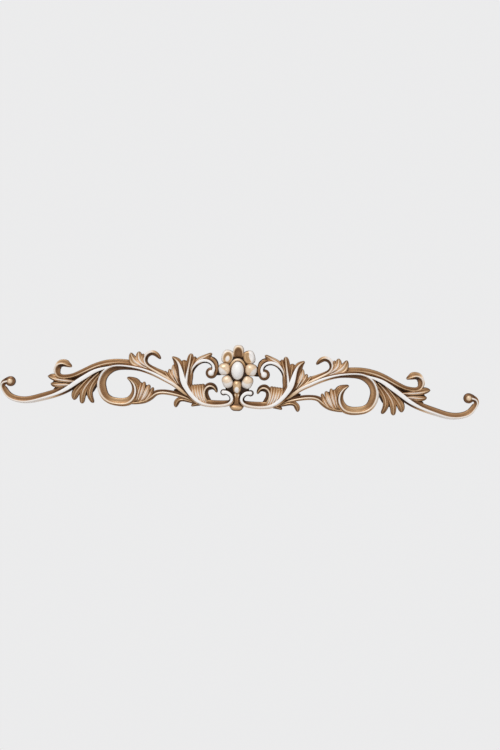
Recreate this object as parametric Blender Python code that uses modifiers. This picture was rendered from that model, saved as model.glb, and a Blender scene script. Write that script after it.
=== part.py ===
"""Openwork scroll applique with a central flower, cast in one piece.

X runs along its length, Z is up, its flat back lies on y = 0 and its carved face looks along -Y.
The origin is on the back, behind the middle of the flower. Sizes in the tables are millimetres.
"""
import math

import bmesh
import bpy
import numpy as np
from mathutils import Matrix, Vector

MM = 0.001

# Sweep of the bands: how far they run past the back before it is cut flat, the length and the
# turn that one span may take, and how tightly a band may fold on itself
BACK_OVERCUT = 3.0
STEP_LONG = 36.0
LEAF_STEP_LONG = 24.0
STEP_TURN = math.radians(35.0)
FEWEST_STATIONS = 4
FEWEST_LEAF_STATIONS = 3
LINE_POINTS = 16
FOLD_LIMIT = 0.84
BEND_WINDOW = 17

# Pointed ends: length of the point in widths, its last width, and the place of the extra section
TIP_REACH = 1.25
TIP_LEAST = 2.0
TIP_STUB = 0.16
TIP_SECTION = 0.65

# Section of a band: heights of its two shoulders, place and depth of its cove, widest crown
OUTER_LIP = 0.42
INNER_LIP = 0.36
COVE_ACROSS = 0.42
COVE_DROP = 0.72
CROWN_SHARE = 0.8

# Flower: places, half sizes, heights and turns of its petals, in the plane of the ornament, and
# how far the middle of each cushion lies behind the back
PETAL_SQUARENESS = 2.6
PETAL_FULLNESS = 0.5
PETAL_SINK = 1.0
BOSS = {"centre": (0.0, -1.5), "half": (13.6, 19.6), "depth": 28.0, "turn": 0.0}
SIDE_PETAL = {"centre": (27.4, 1.0), "half": (13.0, 12.4), "depth": 20.0, "turn": 8.0}
LOWER_PETAL = {"centre": (20.4, -25.0), "half": (12.0, 13.2), "depth": 19.0, "turn": 22.0}
BOTTOM_PETAL = {"centre": (0.0, -34.2), "half": (9.2, 14.8), "depth": 19.0, "turn": 0.0}
UPPER_CUP = {"centre": (22.4, 26.4), "half": (12.4, 14.8), "depth": 17.0, "turn": -16.0,
             "bowl": (-2.4, -1.6), "bowl_half": (8.2, 11.0), "bowl_depth": 6.0}
TOP_CUP = {"centre": (0.0, 37.0), "half": (11.4, 14.8), "depth": 16.0, "turn": 0.0,
           "bowl": (0.0, -3.4), "bowl_half": (7.0, 11.0), "bowl_depth": 7.5}
CORE = {"centre": (0.0, 0.0), "half": (24.0, 28.0), "depth": 8.0, "turn": 0.0}
HOLLOW = {"centre": (0.0, -38.0), "half": (25.0, 13.0), "depth": 5.0, "turn": 0.0}
POST_GROUND = {"centre": (0.0, -58.0), "half": (13.0, 26.0), "depth": 5.0, "turn": 0.0}
ROUND_STEPS = 14
ROUND_RINGS = 8
BOSS_STEPS = 16
BOSS_RINGS = 10

# Raised rim round the boss: a torus drawn out to an oval
RING_CENTRE = (0.0, 0.4)
RING_HALF = (15.4, 20.8)
RING_TUBE = 2.6
RING_DEPTH = 12.0
RING_STEPS = 18
RING_SIDES = 6

# Post and foot under the flower: place, half width and depth at each level
POST_LEVELS = ((-45.0, 6.0, 8.6), (-52.0, 6.4, 10.6), (-56.0, 5.3, 11.0), (-68.0, 5.6, 11.0),
               (-72.6, 11.6, 9.4), (-75.2, 15.2, 10.6), (-78.8, 13.6, 12.0), (-83.0, 10.6, 10.6),
               (-85.2, 6.0, 7.0))
POST_SHOULDER = 0.6
POST_FACE = 0.55

# Back: the cutter behind it, and the angles below which facets are flush or shaded as one
BEHIND_LOW = (-0.6, 0.0, -0.2)
BEHIND_HIGH = (0.6, 0.05, 0.2)
FLUSH_ANGLE = math.radians(5.0)
CREASE_ANGLE = math.radians(38.0)

# Paint
GOLD = (0.42, 0.24, 0.11, 1.0)
GOLD_ROUGHNESS = 0.42


def around(eye, *turns):
    """Knots on a curl: pairs of angle and radius about its eye."""
    knots = []
    for angle, radius in turns:
        a = math.radians(angle)
        knots.append((eye[0] + radius * math.cos(a), eye[1] + radius * math.sin(a)))
    return knots


def band(name, path, left, crown, right, rise, pointed=True, leaf=False):
    """One moulded band: the line of its ridge, and its widths and height along that line."""
    return {"name": name, "path": path, "left": left, "crown": crown, "right": right,
            "rise": rise, "pointed": pointed, "leaf": leaf}


def lobe(name, path, left, right, rise):
    """One lobe of a leaf, sloping both ways from a single ridge."""
    return band(name, path, left, (0.0, 0.0), right, rise, leaf=True)


C_EYE = (-250.0, -41.0)
HOOK_EYE = (-366.0, -14.0)
SMALL_HOOK_EYE = (-178.0, 15.0)

BANDS = [
    band("tail",
         [(-272, -2), (-295, -11.5), (-315, -23.5), (-335, -37), (-355, -51.5), (-380, -64.5),
          (-410, -74.5), (-440, -82.3), (-465, -80.5), (-481, -73.5), (-491, -61), (-494.6, -51),
          (-491.5, -44), (-482, -41)],
         left=(5, 8, 8, 8, 6, 4.6, 3, 2.4, 2.4, 4.6, 9),
         crown=(0.6, 4.6, 5.2, 4.6, 2.4, 1.4, 1.1, 1, 1, 1.2, 1.6),
         right=(5, 7.5, 7.5, 9, 11, 11, 10.5, 10.5, 11, 10, 8),
         rise=(7.5, 14.6, 15, 14, 13, 12, 12, 12, 12), pointed=False),
    band("arch",
         [(-100, -58), (-111, -51), (-121, -42.5), (-133, -33.5), (-150, -25), (-170, -15.3),
          (-190, -8), (-210, -3), (-230, -0.3)]
         + around(C_EYE, (90, 41.5), (112, 41.5), (135, 41), (158, 40), (180, 39.5), (203, 39),
                  (225, 39), (248, 38.3), (270, 38), (292, 41), (310, 43.5), (328, 42.5),
                  (344, 40), (361, 36), (379, 30.7), (401, 25.2)),
         left=(4, 4.5, 5.5, 6, 6, 9, 13, 14, 15, 12.5, 12, 12, 9.5, 6, 1.5),
         crown=(1.5, 4.2, 4.2, 3.6, 2.6, 1.8, 1.7, 1.7, 1.5, 1.3, 1.3, 1.4, 1.7, 1.4, 0.5),
         right=(4, 6, 6, 6, 5, 4, 4, 4, 4.2, 4.5, 5, 6, 7, 8, 2),
         rise=(7, 13.5, 15, 15, 14.5, 14, 13, 13, 13, 12, 9)),
    band("upper_hook",
         [(-222, 4.5), (-245, 6), (-262, 5.3), (-280, 2), (-300, -5), (-320, -15), (-335, -22.5),
          (-348, -27.5)]
         + around(HOOK_EYE, (270, 15.6), (240, 15.8), (215, 16.8), (190, 18), (165, 18.6),
                  (143, 17.8), (117, 15.8), (90, 14.2), (65, 13.6), (45, 15), (25, 20)),
         left=(4, 4, 4, 4, 3, 2.6, 3, 4, 8.4, 9.4, 3),
         crown=(0.5, 0.7, 0.9, 0.9, 0.8, 0.8, 1.1, 1.1, 1.1, 1, 0.6),
         right=(8.5, 8.3, 8, 7.5, 7, 7.5, 11, 12.4, 7.5, 5, 2.4),
         rise=(7, 11.5, 12, 12, 12, 12, 12, 12, 11, 9)),
    band("small_hook",
         [(-126, -34), (-138, -26.5), (-150, -19.5), (-165, -12), (-178, -5), (-188, 1)]
         + around(SMALL_HOOK_EYE, (205, 17.2), (180, 17.3), (150, 17), (120, 16.6), (90, 16),
                  (57, 14.8), (24, 14.8), (6, 15.6)),
         left=(3, 4, 4, 4, 4, 4, 3.4, 2), crown=(0.8, 0.9, 0.9, 1.1, 1.2, 1.1, 0.8, 0.5),
         right=(8, 10, 7, 5.5, 6.5, 6.8, 6.4, 2), rise=(7, 12, 12, 12, 12, 12, 11, 8)),
    band("main_stem",
         [(-28, -47.3), (-22, -47), (-15, -50.3), (-10.3, -57), (-10.5, -64.5), (-16, -70.5),
          (-27, -74), (-42, -75.6), (-58, -75), (-73, -71.5), (-84, -65), (-92.5, -57),
          (-100.5, -47.5), (-107, -37.5), (-112, -27), (-115.5, -15), (-118.5, -3), (-122.5, 8),
          (-128.5, 16), (-138, 22.6)],
         left=(6, 5.5, 5, 5, 4.5, 4, 4.5, 6, 8, 10, 12, 11, 11, 10, 2),
         crown=(2.6, 2.6, 2.6, 2.4, 2, 1.8, 2.2, 4, 5, 5.5, 6.6, 5.2, 3, 1.4, 0.5),
         right=(6, 5.5, 5.5, 6, 9, 11, 11, 9, 8, 8, 9, 7, 6, 7, 2),
         rise=(13, 14, 15, 15, 15, 15, 16, 17, 17, 17, 17, 16, 15, 14, 11)),
    band("middle_prong",
         [(-104, -42), (-106, -30), (-105.3, -17), (-103, -3), (-100.5, 12), (-98, 31)],
         left=(6, 5, 4, 5.4, 6.6, 2.4), crown=(0.6, 1.9, 1.8, 1.3, 1, 0.6),
         right=(11, 12, 12.5, 10.5, 7, 2.4), rise=(6, 14.5, 15.5, 15, 14, 11)),
    band("inner_scroll",
         [(-98.5, -17), (-95, -2), (-89, 7.5), (-81, 14.2), (-71, 17.3), (-61.5, 16.3),
          (-54, 11.5), (-50, 4), (-50.5, -3), (-54, -8)],
         left=(2, 4, 6, 6, 6, 7, 8, 8.5, 8, 7), crown=(0.6, 1.2, 2, 2.5, 2.6, 2.4, 2.2, 2.4, 2.8, 3),
         right=(4, 5, 5.5, 5.4, 5.4, 5.2, 5, 5, 6, 7),
         rise=(6, 13.4, 15, 15, 15, 15, 14, 14, 14), pointed=False),
    band("outer_rim",
         [(-64, 22), (-55, 21.5), (-47.5, 15), (-44, 5.5), (-43.8, -4), (-48, -12.5)],
         left=(4, 5, 5.4, 4, 3.6, 4), crown=(1.5, 2.4, 2.8, 2.4, 2.2, 2), right=(4, 5, 6, 6, 6, 5),
         rise=(6, 9.6, 10, 10, 10, 8), pointed=False),
    band("lower_stem",
         [(-92, -68), (-106, -61.5), (-122, -56.8), (-140, -53), (-157, -52), (-169, -55),
          (-179, -63), (-191, -71), (-206, -75), (-222, -77)],
         left=(3, 4, 4, 4.6, 4.6, 4.6, 5.5, 5, 4, 3),
         crown=(0.6, 1.1, 1.2, 1.2, 1.2, 1.1, 1, 1, 1, 1),
         right=(4, 5, 6.5, 6.2, 6, 7, 8, 6, 5, 4),
         rise=(5.5, 9.6, 10.5, 10.5, 10.5, 10.5, 10.5, 10, 9)),
    band("under_leaf",
         [(-88, -71), (-100, -67.5), (-112, -65), (-120.5, -67), (-125.5, -73.5), (-127, -82.5)],
         left=(3, 4, 4.5, 4.6, 5.4, 2.6), crown=(0.6, 1, 1, 1, 1, 0.7),
         right=(4, 5, 5.8, 6.2, 6.2, 3), rise=(5.5, 9, 10, 10, 9.5, 7)),
    band("inner_hook",
         [(-57, -70), (-63.5, -64), (-67.5, -56), (-68, -47), (-64.5, -39.5), (-58, -35.5),
          (-51, -36.2), (-45.5, -41), (-42, -48.5)],
         left=(3, 3.5, 4, 4.5, 6, 7.6, 7, 5, 2), crown=(0.6, 1.1, 1.3, 1.3, 1.3, 1.3, 1.2, 1, 0.6),
         right=(4, 7, 8.5, 8, 7.5, 8, 7, 4, 2),
         rise=(6, 11, 12.5, 12.5, 12.5, 12, 11.5, 10, 7.5)),
    lobe("crest", [(-92, 4), (-85, 15.5), (-72, 23.5), (-55, 32.4)],
         left=(4, 5.6, 5, 3), right=(5, 9, 9, 3.6), rise=(8, 13, 13, 10)),
    lobe("side_prong", [(-99, -6), (-97, 2), (-94, 12), (-90, 25)],
         left=(3, 4, 5, 3), right=(4, 6, 8, 4.4), rise=(8, 13.5, 13, 10.5)),
    lobe("fork_leaf", [(-109.5, -17), (-111, -6), (-112, 5), (-113.5, 17)],
         left=(1.5, 4.5, 9, 8), right=(1.5, 4, 8, 8), rise=(9, 9.6, 10.4, 9.6)),
    lobe("fork_lobe_1", [(-122, -34), (-129.5, -20), (-134, -8), (-134.8, 6.5)],
         left=(3, 4.5, 5.4, 2), right=(3, 6, 6.5, 2.4), rise=(8, 12, 12, 9)),
    lobe("fork_lobe_2", [(-125, -34), (-133, -23.5), (-140, -13), (-143.4, -3)],
         left=(3, 4.4, 5.6, 2.4), right=(3, 4.6, 5.6, 2.4), rise=(8, 12, 11.5, 8)),
    lobe("fork_lobe_3", [(-128, -34), (-137.5, -26.5), (-146, -18), (-153, -7.6)],
         left=(3, 4, 4.4, 2), right=(3, 4, 5, 2.4), rise=(8, 11, 10.5, 8)),
    lobe("trumpet_cheek", [(-206, -72), (-205.5, -60), (-207, -46), (-213, -34), (-230.5, -23.6)],
         left=(3, 4, 6, 8, 2), right=(3, 4, 7.5, 10, 2.4), rise=(9, 10, 10, 10, 8)),
    lobe("trumpet_flute_1", [(-210, -72), (-206.5, -61), (-203.5, -48), (-200.6, -32.6)],
         left=(3, 3.4, 4, 3), right=(3, 3, 3.4, 3.4), rise=(8, 11, 11.5, 9)),
    lobe("trumpet_flute_2", [(-206.5, -73), (-202, -62), (-197.6, -48), (-194.4, -31.2)],
         left=(3, 3.2, 3.6, 3.4), right=(3, 3.4, 4.4, 4.6), rise=(8, 11.5, 12, 9.5)),
    lobe("trumpet_flute_3", [(-202, -74), (-195.5, -65.5), (-188.8, -53), (-183.6, -37)],
         left=(3, 4, 5.6, 4.6), right=(3, 3.8, 5, 4.4), rise=(8, 11.5, 13, 10)),
    lobe("trumpet_flute_4", [(-196, -74), (-187, -67), (-181, -57), (-175.6, -42.2)],
         left=(3, 3.8, 4.4, 3), right=(3, 3.8, 4.4, 3.6), rise=(8, 11, 11, 9)),
    lobe("under_spur", [(-76, -73), (-85, -74.2), (-94.6, -78.6)],
         left=(4, 4, 1.8), right=(4, 6, 3), rise=(9, 9, 7)),
    lobe("side_lobe_1", [(-340, -36), (-352, -36), (-367, -34.6), (-382, -33), (-398, -27.2)],
         left=(3, 3.5, 4.4, 4.6, 3), right=(3, 4, 7, 10.8, 7), rise=(10, 11.5, 11.5, 11, 8)),
    lobe("side_lobe_2", [(-343, -44), (-355, -44), (-368, -44.6), (-380, -44.8), (-391.4, -42.6)],
         left=(3, 4.5, 6, 6, 4), right=(3, 3.8, 4.6, 5.6, 4), rise=(10, 11, 11, 10.5, 8)),
    lobe("side_lobe_3", [(-350, -50), (-362, -52.5), (-373, -53.5), (-385, -54)],
         left=(4, 5, 4, 2), right=(4, 4.4, 5, 3), rise=(8, 8.5, 8, 7)),
    lobe("fan_lobe_1", [(-305, -22), (-318, -36), (-329, -49), (-337, -61), (-341.5, -75)],
         left=(3, 5, 6.6, 6.8, 4.6), right=(3, 6, 9, 9.8, 5.2), rise=(10, 11.5, 11.5, 11, 8)),
    lobe("fan_lobe_2", [(-290, -16), (-303, -29), (-315, -44), (-322.5, -59), (-324, -82)],
         left=(3, 4, 6, 7.4, 4.8), right=(3, 4, 6, 7, 4.6), rise=(10, 12.5, 12.5, 12, 8)),
    lobe("fan_lobe_3", [(-288, -20), (-299, -34), (-306, -49), (-307, -63), (-299.6, -79.6)],
         left=(3, 7, 5.6, 5, 3), right=(3, 4.5, 6.4, 7.2, 4.4), rise=(10, 12, 12, 11.5, 8)),
    lobe("top_lobe_1", [(-190, -3), (-204, 3), (-216, 11.5), (-225.4, 28)],
         left=(4, 5, 12, 4.4), right=(4, 5, 7, 3), rise=(9, 13, 12.5, 9)),
    lobe("top_lobe_2", [(-187, -1), (-199, 6.5), (-207, 16), (-208, 31.2)],
         left=(3, 5.6, 8, 4), right=(3, 5, 8.6, 5), rise=(9, 13, 12.5, 9)),
    lobe("top_lobe_3", [(-188, 2), (-194, 9), (-198, 17), (-199, 27)],
         left=(3, 4, 4.8, 2.4), right=(3, 4, 4, 2), rise=(10, 11, 10.5, 8)),
]

# Low ground that joins the lobes of each leaf below their ridges
GROUNDS = [
    lobe("side_ground", [(-335, -40), (-362, -43), (-388, -41)], (5, 14, 7), (5, 12, 9), (6, 6, 5)),
    lobe("fan_ground", [(-281, -8), (-303, -34), (-320, -64)], (2, 13, 14), (2, 10, 16), (6, 6, 5)),
    lobe("link_ground", [(-322, -22), (-340, -28), (-358, -32)], (4, 5, 4), (3, 4, 4), (8, 8, 7)),
    lobe("flower_link", [(-48, -7.4), (-38, -7.4), (-26, -7.4)], (5, 5, 3), (5, 5, 3), (7.3, 7.3, 6.3)),
    lobe("arch_ground", [(-262, -4), (-280, -5), (-296, -12)], (5, 6, 5), (4, 5, 5), (9, 10, 9)),
    lobe("top_ground", [(-186, -4), (-203, 6), (-214, 18)], (4, 9, 9), (4, 8, 7), (8, 8, 6)),
    lobe("trumpet_ground", [(-203, -73), (-197, -57), (-190, -38)], (8, 12, 16), (6, 11, 13), (7, 7, 6)),
    lobe("fork_ground", [(-120, -37), (-131, -22), (-140, -7)], (5, 9, 6), (5, 9, 6), (8, 8, 6)),
    lobe("crest_ground", [(-97, 0), (-88, 12), (-78, 20)], (3, 8, 6), (3, 6, 6), (8, 8, 7)),
    lobe("arch_web", [(-106, -56), (-119, -50.5), (-132, -45.6)], (4, 5, 2.4), (4, 5, 2.4), (6, 6, 5)),
    lobe("inner_ground", [(-72, -67), (-80, -52), (-83, -35)], (8, 13, 12), (7, 11, 12), (7, 7, 6)),
]

# The fluted leaf inside the lower scroll opens from a narrow root to a scalloped edge
FLUTES = 5
FLUTE_ROOTS = ((-80.5, -67.5), (-63.0, -68.5))
FLUTE_WAISTS = ((-90.0, -56.0), (-69.5, -56.0))
FLUTE_TIPS = ((-95.0, -33.5), (-72.0, -31.0))
FLUTE_HALVES = (2.5, 4.2, 5.0, 4.4)
FLUTE_RISES = (6.0, 11.6, 11.0, 8.5)

# Round eyes at the ends of the curls: centre, radius of the drum, radius of the bead, height
EYES = (((-476.4, -40.8), 10.6, 5.4, 14.0), ((-55.0, -8.2), 11.8, 5.6, 14.0),
        ((-27.5, -47.3), 6.3, 3.4, 12.5))
EYE_STEPS = 12
EYE_COLLAR = 1.25
EYE_BEAD_TOP = 0.45
EYE_HEIGHTS = (1.0, 0.9, 0.74, 0.66, 0.45)
EYE_SHOULDER = 0.84


def blend(a, b, f):
    """Point at fraction f of the way from a to b."""
    return (a[0] + (b[0] - a[0]) * f, a[1] + (b[1] - a[1]) * f)


def fluted_leaf():
    """The flutes of the inner leaf, spread evenly between its two edges."""
    flutes = []
    for i in range(FLUTES):
        f = i / (FLUTES - 1)
        path = [blend(*FLUTE_ROOTS, f), blend(*FLUTE_WAISTS, f), blend(*FLUTE_TIPS, f)]
        flutes.append(lobe(f"flute_{i + 1}", path, FLUTE_HALVES, FLUTE_HALVES, FLUTE_RISES))
    return flutes


def flowing_line(knots):
    """Smooth line through the knots, with tighter spans where the knots are closer."""
    pts = [np.array(k, float) for k in knots]
    pts = [2 * pts[0] - pts[1]] + pts + [2 * pts[-1] - pts[-2]]
    line = []
    for i in range(1, len(pts) - 2):
        p = pts[i - 1:i + 3]
        t = [0.0]
        for a, b in zip(p[:-1], p[1:]):
            t.append(t[-1] + math.sqrt(np.linalg.norm(b - a)))
        for k in range(LINE_POINTS):
            s = t[1] + (t[2] - t[1]) * k / LINE_POINTS
            a = [((t[j + 1] - s) * p[j] + (s - t[j]) * p[j + 1]) / (t[j + 1] - t[j])
                 for j in range(3)]
            b = [((t[j + 2] - s) * a[j] + (s - t[j]) * a[j + 1]) / (t[j + 2] - t[j])
                 for j in range(2)]
            line.append(((t[2] - s) * b[0] + (s - t[1]) * b[1]) / (t[2] - t[1]))
    line.append(pts[-2])
    return np.array(line)


def eased(values, f):
    """Values given at equal steps of a band, read at fractions f with a smooth curve."""
    v = np.asarray(values, float)
    x = np.linspace(0.0, 1.0, len(v))
    slope = np.gradient(v, x)
    i = np.clip((f * (len(v) - 1)).astype(int), 0, len(v) - 2)
    h = x[1]
    t = (f - x[i]) / h
    lead = (2 * t**3 - 3 * t**2 + 1) * v[i] + (t**3 - 2 * t**2 + t) * h * slope[i]
    return lead + (-2 * t**3 + 3 * t**2) * v[i + 1] + (t**3 - t**2) * h * slope[i + 1]


def stations(spec):
    """Places along a band, closer together where it turns, with its frame and sizes at each."""
    leaf = spec["leaf"]
    line = flowing_line(spec["path"])
    seg = np.diff(line, axis=0)
    length = np.linalg.norm(seg, axis=1)
    heading = np.unwrap(np.arctan2(seg[:, 1], seg[:, 0]))
    turn = np.abs(np.diff(heading, prepend=heading[0]))
    step_long = LEAF_STEP_LONG if leaf else STEP_LONG
    work = np.concatenate(([0.0], np.cumsum(length / step_long + turn / STEP_TURN)))
    count = max(FEWEST_LEAF_STATIONS if leaf else FEWEST_STATIONS, int(math.ceil(work[-1])) + 1)
    picks = np.interp(np.linspace(0.0, work[-1], count), work, np.arange(len(line)))
    if spec["pointed"]:
        near_tip = picks[-2] + TIP_SECTION * (picks[-1] - picks[-2])
        picks = np.append(picks[:-1], [near_tip, picks[-1]])
    index = np.arange(len(line))
    pos = np.stack([np.interp(picks, index, line[:, k]) for k in range(2)], axis=1)
    fraction = picks / index[-1]
    walked = np.interp(picks, index, np.concatenate(([0.0], np.cumsum(length))))
    tangent = np.gradient(line, axis=0)
    pace = np.linalg.norm(tangent, axis=1)
    tangent = tangent / pace[:, None]
    bend = np.gradient(np.unwrap(np.arctan2(tangent[:, 1], tangent[:, 0]))) / pace
    window = np.ones(BEND_WINDOW) / BEND_WINDOW
    bend = np.convolve(np.pad(bend, BEND_WINDOW // 2, mode="edge"), window, mode="valid")
    bend = np.interp(picks, index, bend)
    aim = np.stack([np.interp(picks, index, tangent[:, k]) for k in range(2)], axis=1)
    aim = aim / np.linalg.norm(aim, axis=1)[:, None]
    left, crown, right, rise = (eased(spec[k], fraction) for k in ("left", "crown", "right", "rise"))
    if spec["pointed"]:
        reach = TIP_REACH * max(left[-1], right[-1], TIP_LEAST)
        g = np.clip((walked - walked[-1] + reach) / reach, 0.0, 1.0)
        tip = np.sqrt(np.clip(1.0 - g**2, TIP_STUB**2, 1.0))
        left, crown, right = left * tip, crown * tip, right * tip
    room = FOLD_LIMIT / np.maximum(np.abs(bend), 1e-6)
    left = np.where(bend > 0, np.minimum(left, room), left)
    right = np.where(bend < 0, np.minimum(right, room), right)
    crown = np.minimum(crown, CROWN_SHARE * np.minimum(left, right))
    return pos, aim, left, crown, right, rise


def section(left, crown, right, rise, leaf, cove_left):
    """Cross-section of a band: offset across it and height, from one foot over the ridge to the other."""
    outer, inner = OUTER_LIP * rise, INNER_LIP * rise
    if leaf:
        return [(left, -BACK_OVERCUT), (left, outer), (0.0, rise), (-right, inner),
                (-right, -BACK_OVERCUT)]
    profile = [(left, -BACK_OVERCUT), (left, outer), (crown, rise), (-crown, rise),
               (-right, inner), (-right, -BACK_OVERCUT)]
    if cove_left:
        cove = (crown + (left - crown) * COVE_ACROSS, rise - (rise - outer) * COVE_DROP)
        return profile[:2] + [cove] + profile[2:]
    cove = (-crown - (right - crown) * COVE_ACROSS, rise - (rise - inner) * COVE_DROP)
    return profile[:4] + [cove] + profile[4:]


def loft(name, rings):
    """Closed solid through rings of points that have the same number of points."""
    bm = bmesh.new()
    rows = [[bm.verts.new((x * MM, y * MM, z * MM)) for x, y, z in ring] for ring in rings]
    sides = len(rows[0])
    for a, b in zip(rows[:-1], rows[1:]):
        for j in range(sides):
            bm.faces.new((a[j], a[(j + 1) % sides], b[(j + 1) % sides], b[j]))
    bm.faces.new(list(reversed(rows[0])))
    bm.faces.new(rows[-1])
    bmesh.ops.triangulate(bm, faces=bm.faces[:])
    bmesh.ops.recalc_face_normals(bm, faces=bm.faces[:])
    return finish_mesh(name, bm)


def swept(spec):
    """Band swept along its ridge line through sections that change in width, height and lean."""
    cove_left = sum(spec["left"]) / len(spec["left"]) > sum(spec["right"]) / len(spec["right"])
    rings = []
    for pos, aim, left, crown, right, rise in zip(*stations(spec)):
        ring = []
        for across, up in section(left, crown, right, rise, spec["leaf"], cove_left):
            ring.append((pos[0] - aim[1] * across, -up, pos[1] + aim[0] * across))
        rings.append(ring)
    return loft(spec["name"], rings)


def post(name):
    """Post and flared foot under the flower, a block whose width follows its levels."""
    rings = []
    for z, half, depth in POST_LEVELS:
        shoulder, face = depth * POST_SHOULDER, half * POST_FACE
        profile = ((-half, -BACK_OVERCUT), (-half, shoulder), (-face, depth), (face, depth),
                   (half, shoulder), (half, -BACK_OVERCUT))
        rings.append([(x, -up, z) for x, up in profile])
    return loft(name, rings)


def finish_mesh(name, bm):
    """Object holding the mesh that was built."""
    mesh = bpy.data.meshes.new(name)
    bm.to_mesh(mesh)
    bm.free()
    return bpy.data.objects.new(name, mesh)


def applied(target):
    """Object with its modifiers' result as its mesh."""
    linked = bool(target.users_collection)
    if not linked:
        bpy.context.scene.collection.objects.link(target)
    graph = bpy.context.evaluated_depsgraph_get()
    graph.update()
    mesh = bpy.data.meshes.new_from_object(target.evaluated_get(graph))
    target.modifiers.clear()
    target.data = mesh
    if not linked:
        bpy.context.scene.collection.objects.unlink(target)
    return target


def eye(name, centre, outer, bead, height):
    """Round end of a curl: a turned drum with a coved shoulder and a raised bead."""
    radii = (bead * EYE_BEAD_TOP, bead, bead * EYE_COLLAR, outer * EYE_SHOULDER, outer)
    profile = [(0.0, height)] + [(r, height * h) for r, h in zip(radii, EYE_HEIGHTS)]
    profile += [(outer, -BACK_OVERCUT), (0.0, -BACK_OVERCUT)]
    mesh = bpy.data.meshes.new(name)
    mesh.from_pydata([(r * MM, 0.0, up * MM) for r, up in profile],
                     [(i, i + 1) for i in range(len(profile) - 1)], [])
    drum = bpy.data.objects.new(name, mesh)
    turn = drum.modifiers.new("turn", 'SCREW')
    turn.steps = EYE_STEPS
    turn.render_steps = EYE_STEPS
    turn.use_merge_vertices = True
    turn.merge_threshold = 0.00001
    applied(drum)
    drum.data.transform(Matrix.Translation((centre[0] * MM, 0.0, centre[1] * MM))
                        @ Matrix.Rotation(math.pi / 2, 4, 'X'))
    return drum


def rounded(name, spec, side=1, squareness=PETAL_SQUARENESS, steps=ROUND_STEPS, rings=ROUND_RINGS):
    """Cushion shape, turned in the plane of the ornament."""
    bm = bmesh.new()
    bmesh.ops.create_uvsphere(bm, u_segments=steps, v_segments=rings, radius=1.0)
    for vert in bm.verts:
        u, w, up = vert.co
        reach = math.hypot(u, w)
        if reach > 0.0:
            corner = abs(u / reach) ** squareness + abs(w / reach) ** squareness
            u, w = (c * corner ** (-1.0 / squareness) for c in (u, w))
        if up > 0.0:
            up = up ** PETAL_FULLNESS
        vert.co = (u, w, up)
    centre, half, depth = spec["centre"], spec["half"], spec["depth"] + PETAL_SINK
    place = (Matrix.Translation((centre[0] * side * MM, PETAL_SINK * MM, centre[1] * MM))
             @ Matrix.Rotation(-math.radians(spec["turn"]) * side, 4, 'Y')
             @ Matrix.Diagonal((half[0] * MM, depth * MM, half[1] * MM, 1.0))
             @ Matrix.Rotation(math.pi / 2, 4, 'X'))
    bmesh.ops.transform(bm, matrix=place, verts=bm.verts[:])
    bmesh.ops.recalc_face_normals(bm, faces=bm.faces[:])
    return finish_mesh(name, bm)


def cup(name, spec, side=1):
    """Petal with a hollow scooped in its face."""
    scoop = {"centre": (spec["centre"][0] + spec["bowl"][0], spec["centre"][1] + spec["bowl"][1]),
             "half": spec["bowl_half"], "depth": spec["bowl_depth"], "turn": spec["turn"]}
    hollow = rounded("scoop", scoop, side, squareness=2.0)
    hollow.data.transform(Matrix.Translation((0.0, -spec["depth"] * MM, 0.0)))
    return combine(rounded(name, spec, side), [hollow], 'DIFFERENCE')


def ring(name):
    """Raised rim round the boss."""
    mean = (RING_HALF[0] + RING_HALF[1]) / 2
    bpy.ops.mesh.primitive_torus_add(major_radius=mean * MM, minor_radius=RING_TUBE * MM,
                                     major_segments=RING_STEPS, minor_segments=RING_SIDES)
    rim = bpy.context.object
    rim.name = name
    rim.data.transform(Matrix.Translation((RING_CENTRE[0] * MM, -RING_DEPTH * MM, RING_CENTRE[1] * MM))
                       @ Matrix.Diagonal((RING_HALF[0] / mean, 1.0, RING_HALF[1] / mean, 1.0))
                       @ Matrix.Rotation(math.pi / 2, 4, 'X'))
    for holder in list(rim.users_collection):
        holder.objects.unlink(rim)
    return rim


def combine(base, others, operation):
    """One closed solid from the base and the other solids, which are used up."""
    holder = bpy.data.collections.new("joining")
    bpy.context.scene.collection.children.link(holder)
    for other in others:
        holder.objects.link(other)
    step = base.modifiers.new("join", 'BOOLEAN')
    step.operation = operation
    step.solver = 'EXACT'
    step.operand_type = 'COLLECTION'
    step.collection = holder
    applied(base)
    for other in others:
        bpy.data.objects.remove(other, do_unlink=True)
    bpy.data.collections.remove(holder)
    return base


def both_sides(half):
    """The solid of the left half with its mirror image at the right."""
    mirror = half.modifiers.new("other_side", 'MIRROR')
    mirror.use_axis = (True, False, False)
    mirror.merge_threshold = 0.00001
    return applied(half)


def flower():
    """Boss, rim, petals, cups and post of the middle, with the low ground between them."""
    pieces = [rounded("boss", BOSS, squareness=2.0, steps=BOSS_STEPS, rings=BOSS_RINGS),
              rounded("core", CORE), rounded("hollow", HOLLOW), rounded("post_ground", POST_GROUND),
              rounded("bottom_petal", BOTTOM_PETAL), cup("top_cup", TOP_CUP), ring("rim"),
              post("post")]
    for side in (-1, 1):
        pieces += [rounded("side_petal", SIDE_PETAL, side), rounded("lower_petal", LOWER_PETAL, side),
                   cup("upper_cup", UPPER_CUP, side)]
    return pieces


def flush(target):
    """Merge facets that lie in one plane, and shade the soft edges."""
    bm = bmesh.new()
    bm.from_mesh(target.data)
    bmesh.ops.dissolve_limit(bm, angle_limit=FLUSH_ANGLE, verts=bm.verts[:], edges=bm.edges[:])
    bmesh.ops.triangulate(bm, faces=bm.faces[:])
    bm.to_mesh(target.data)
    bm.free()
    target.data.shade_smooth()
    target.data.set_sharp_from_angle(angle=CREASE_ANGLE)


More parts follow.
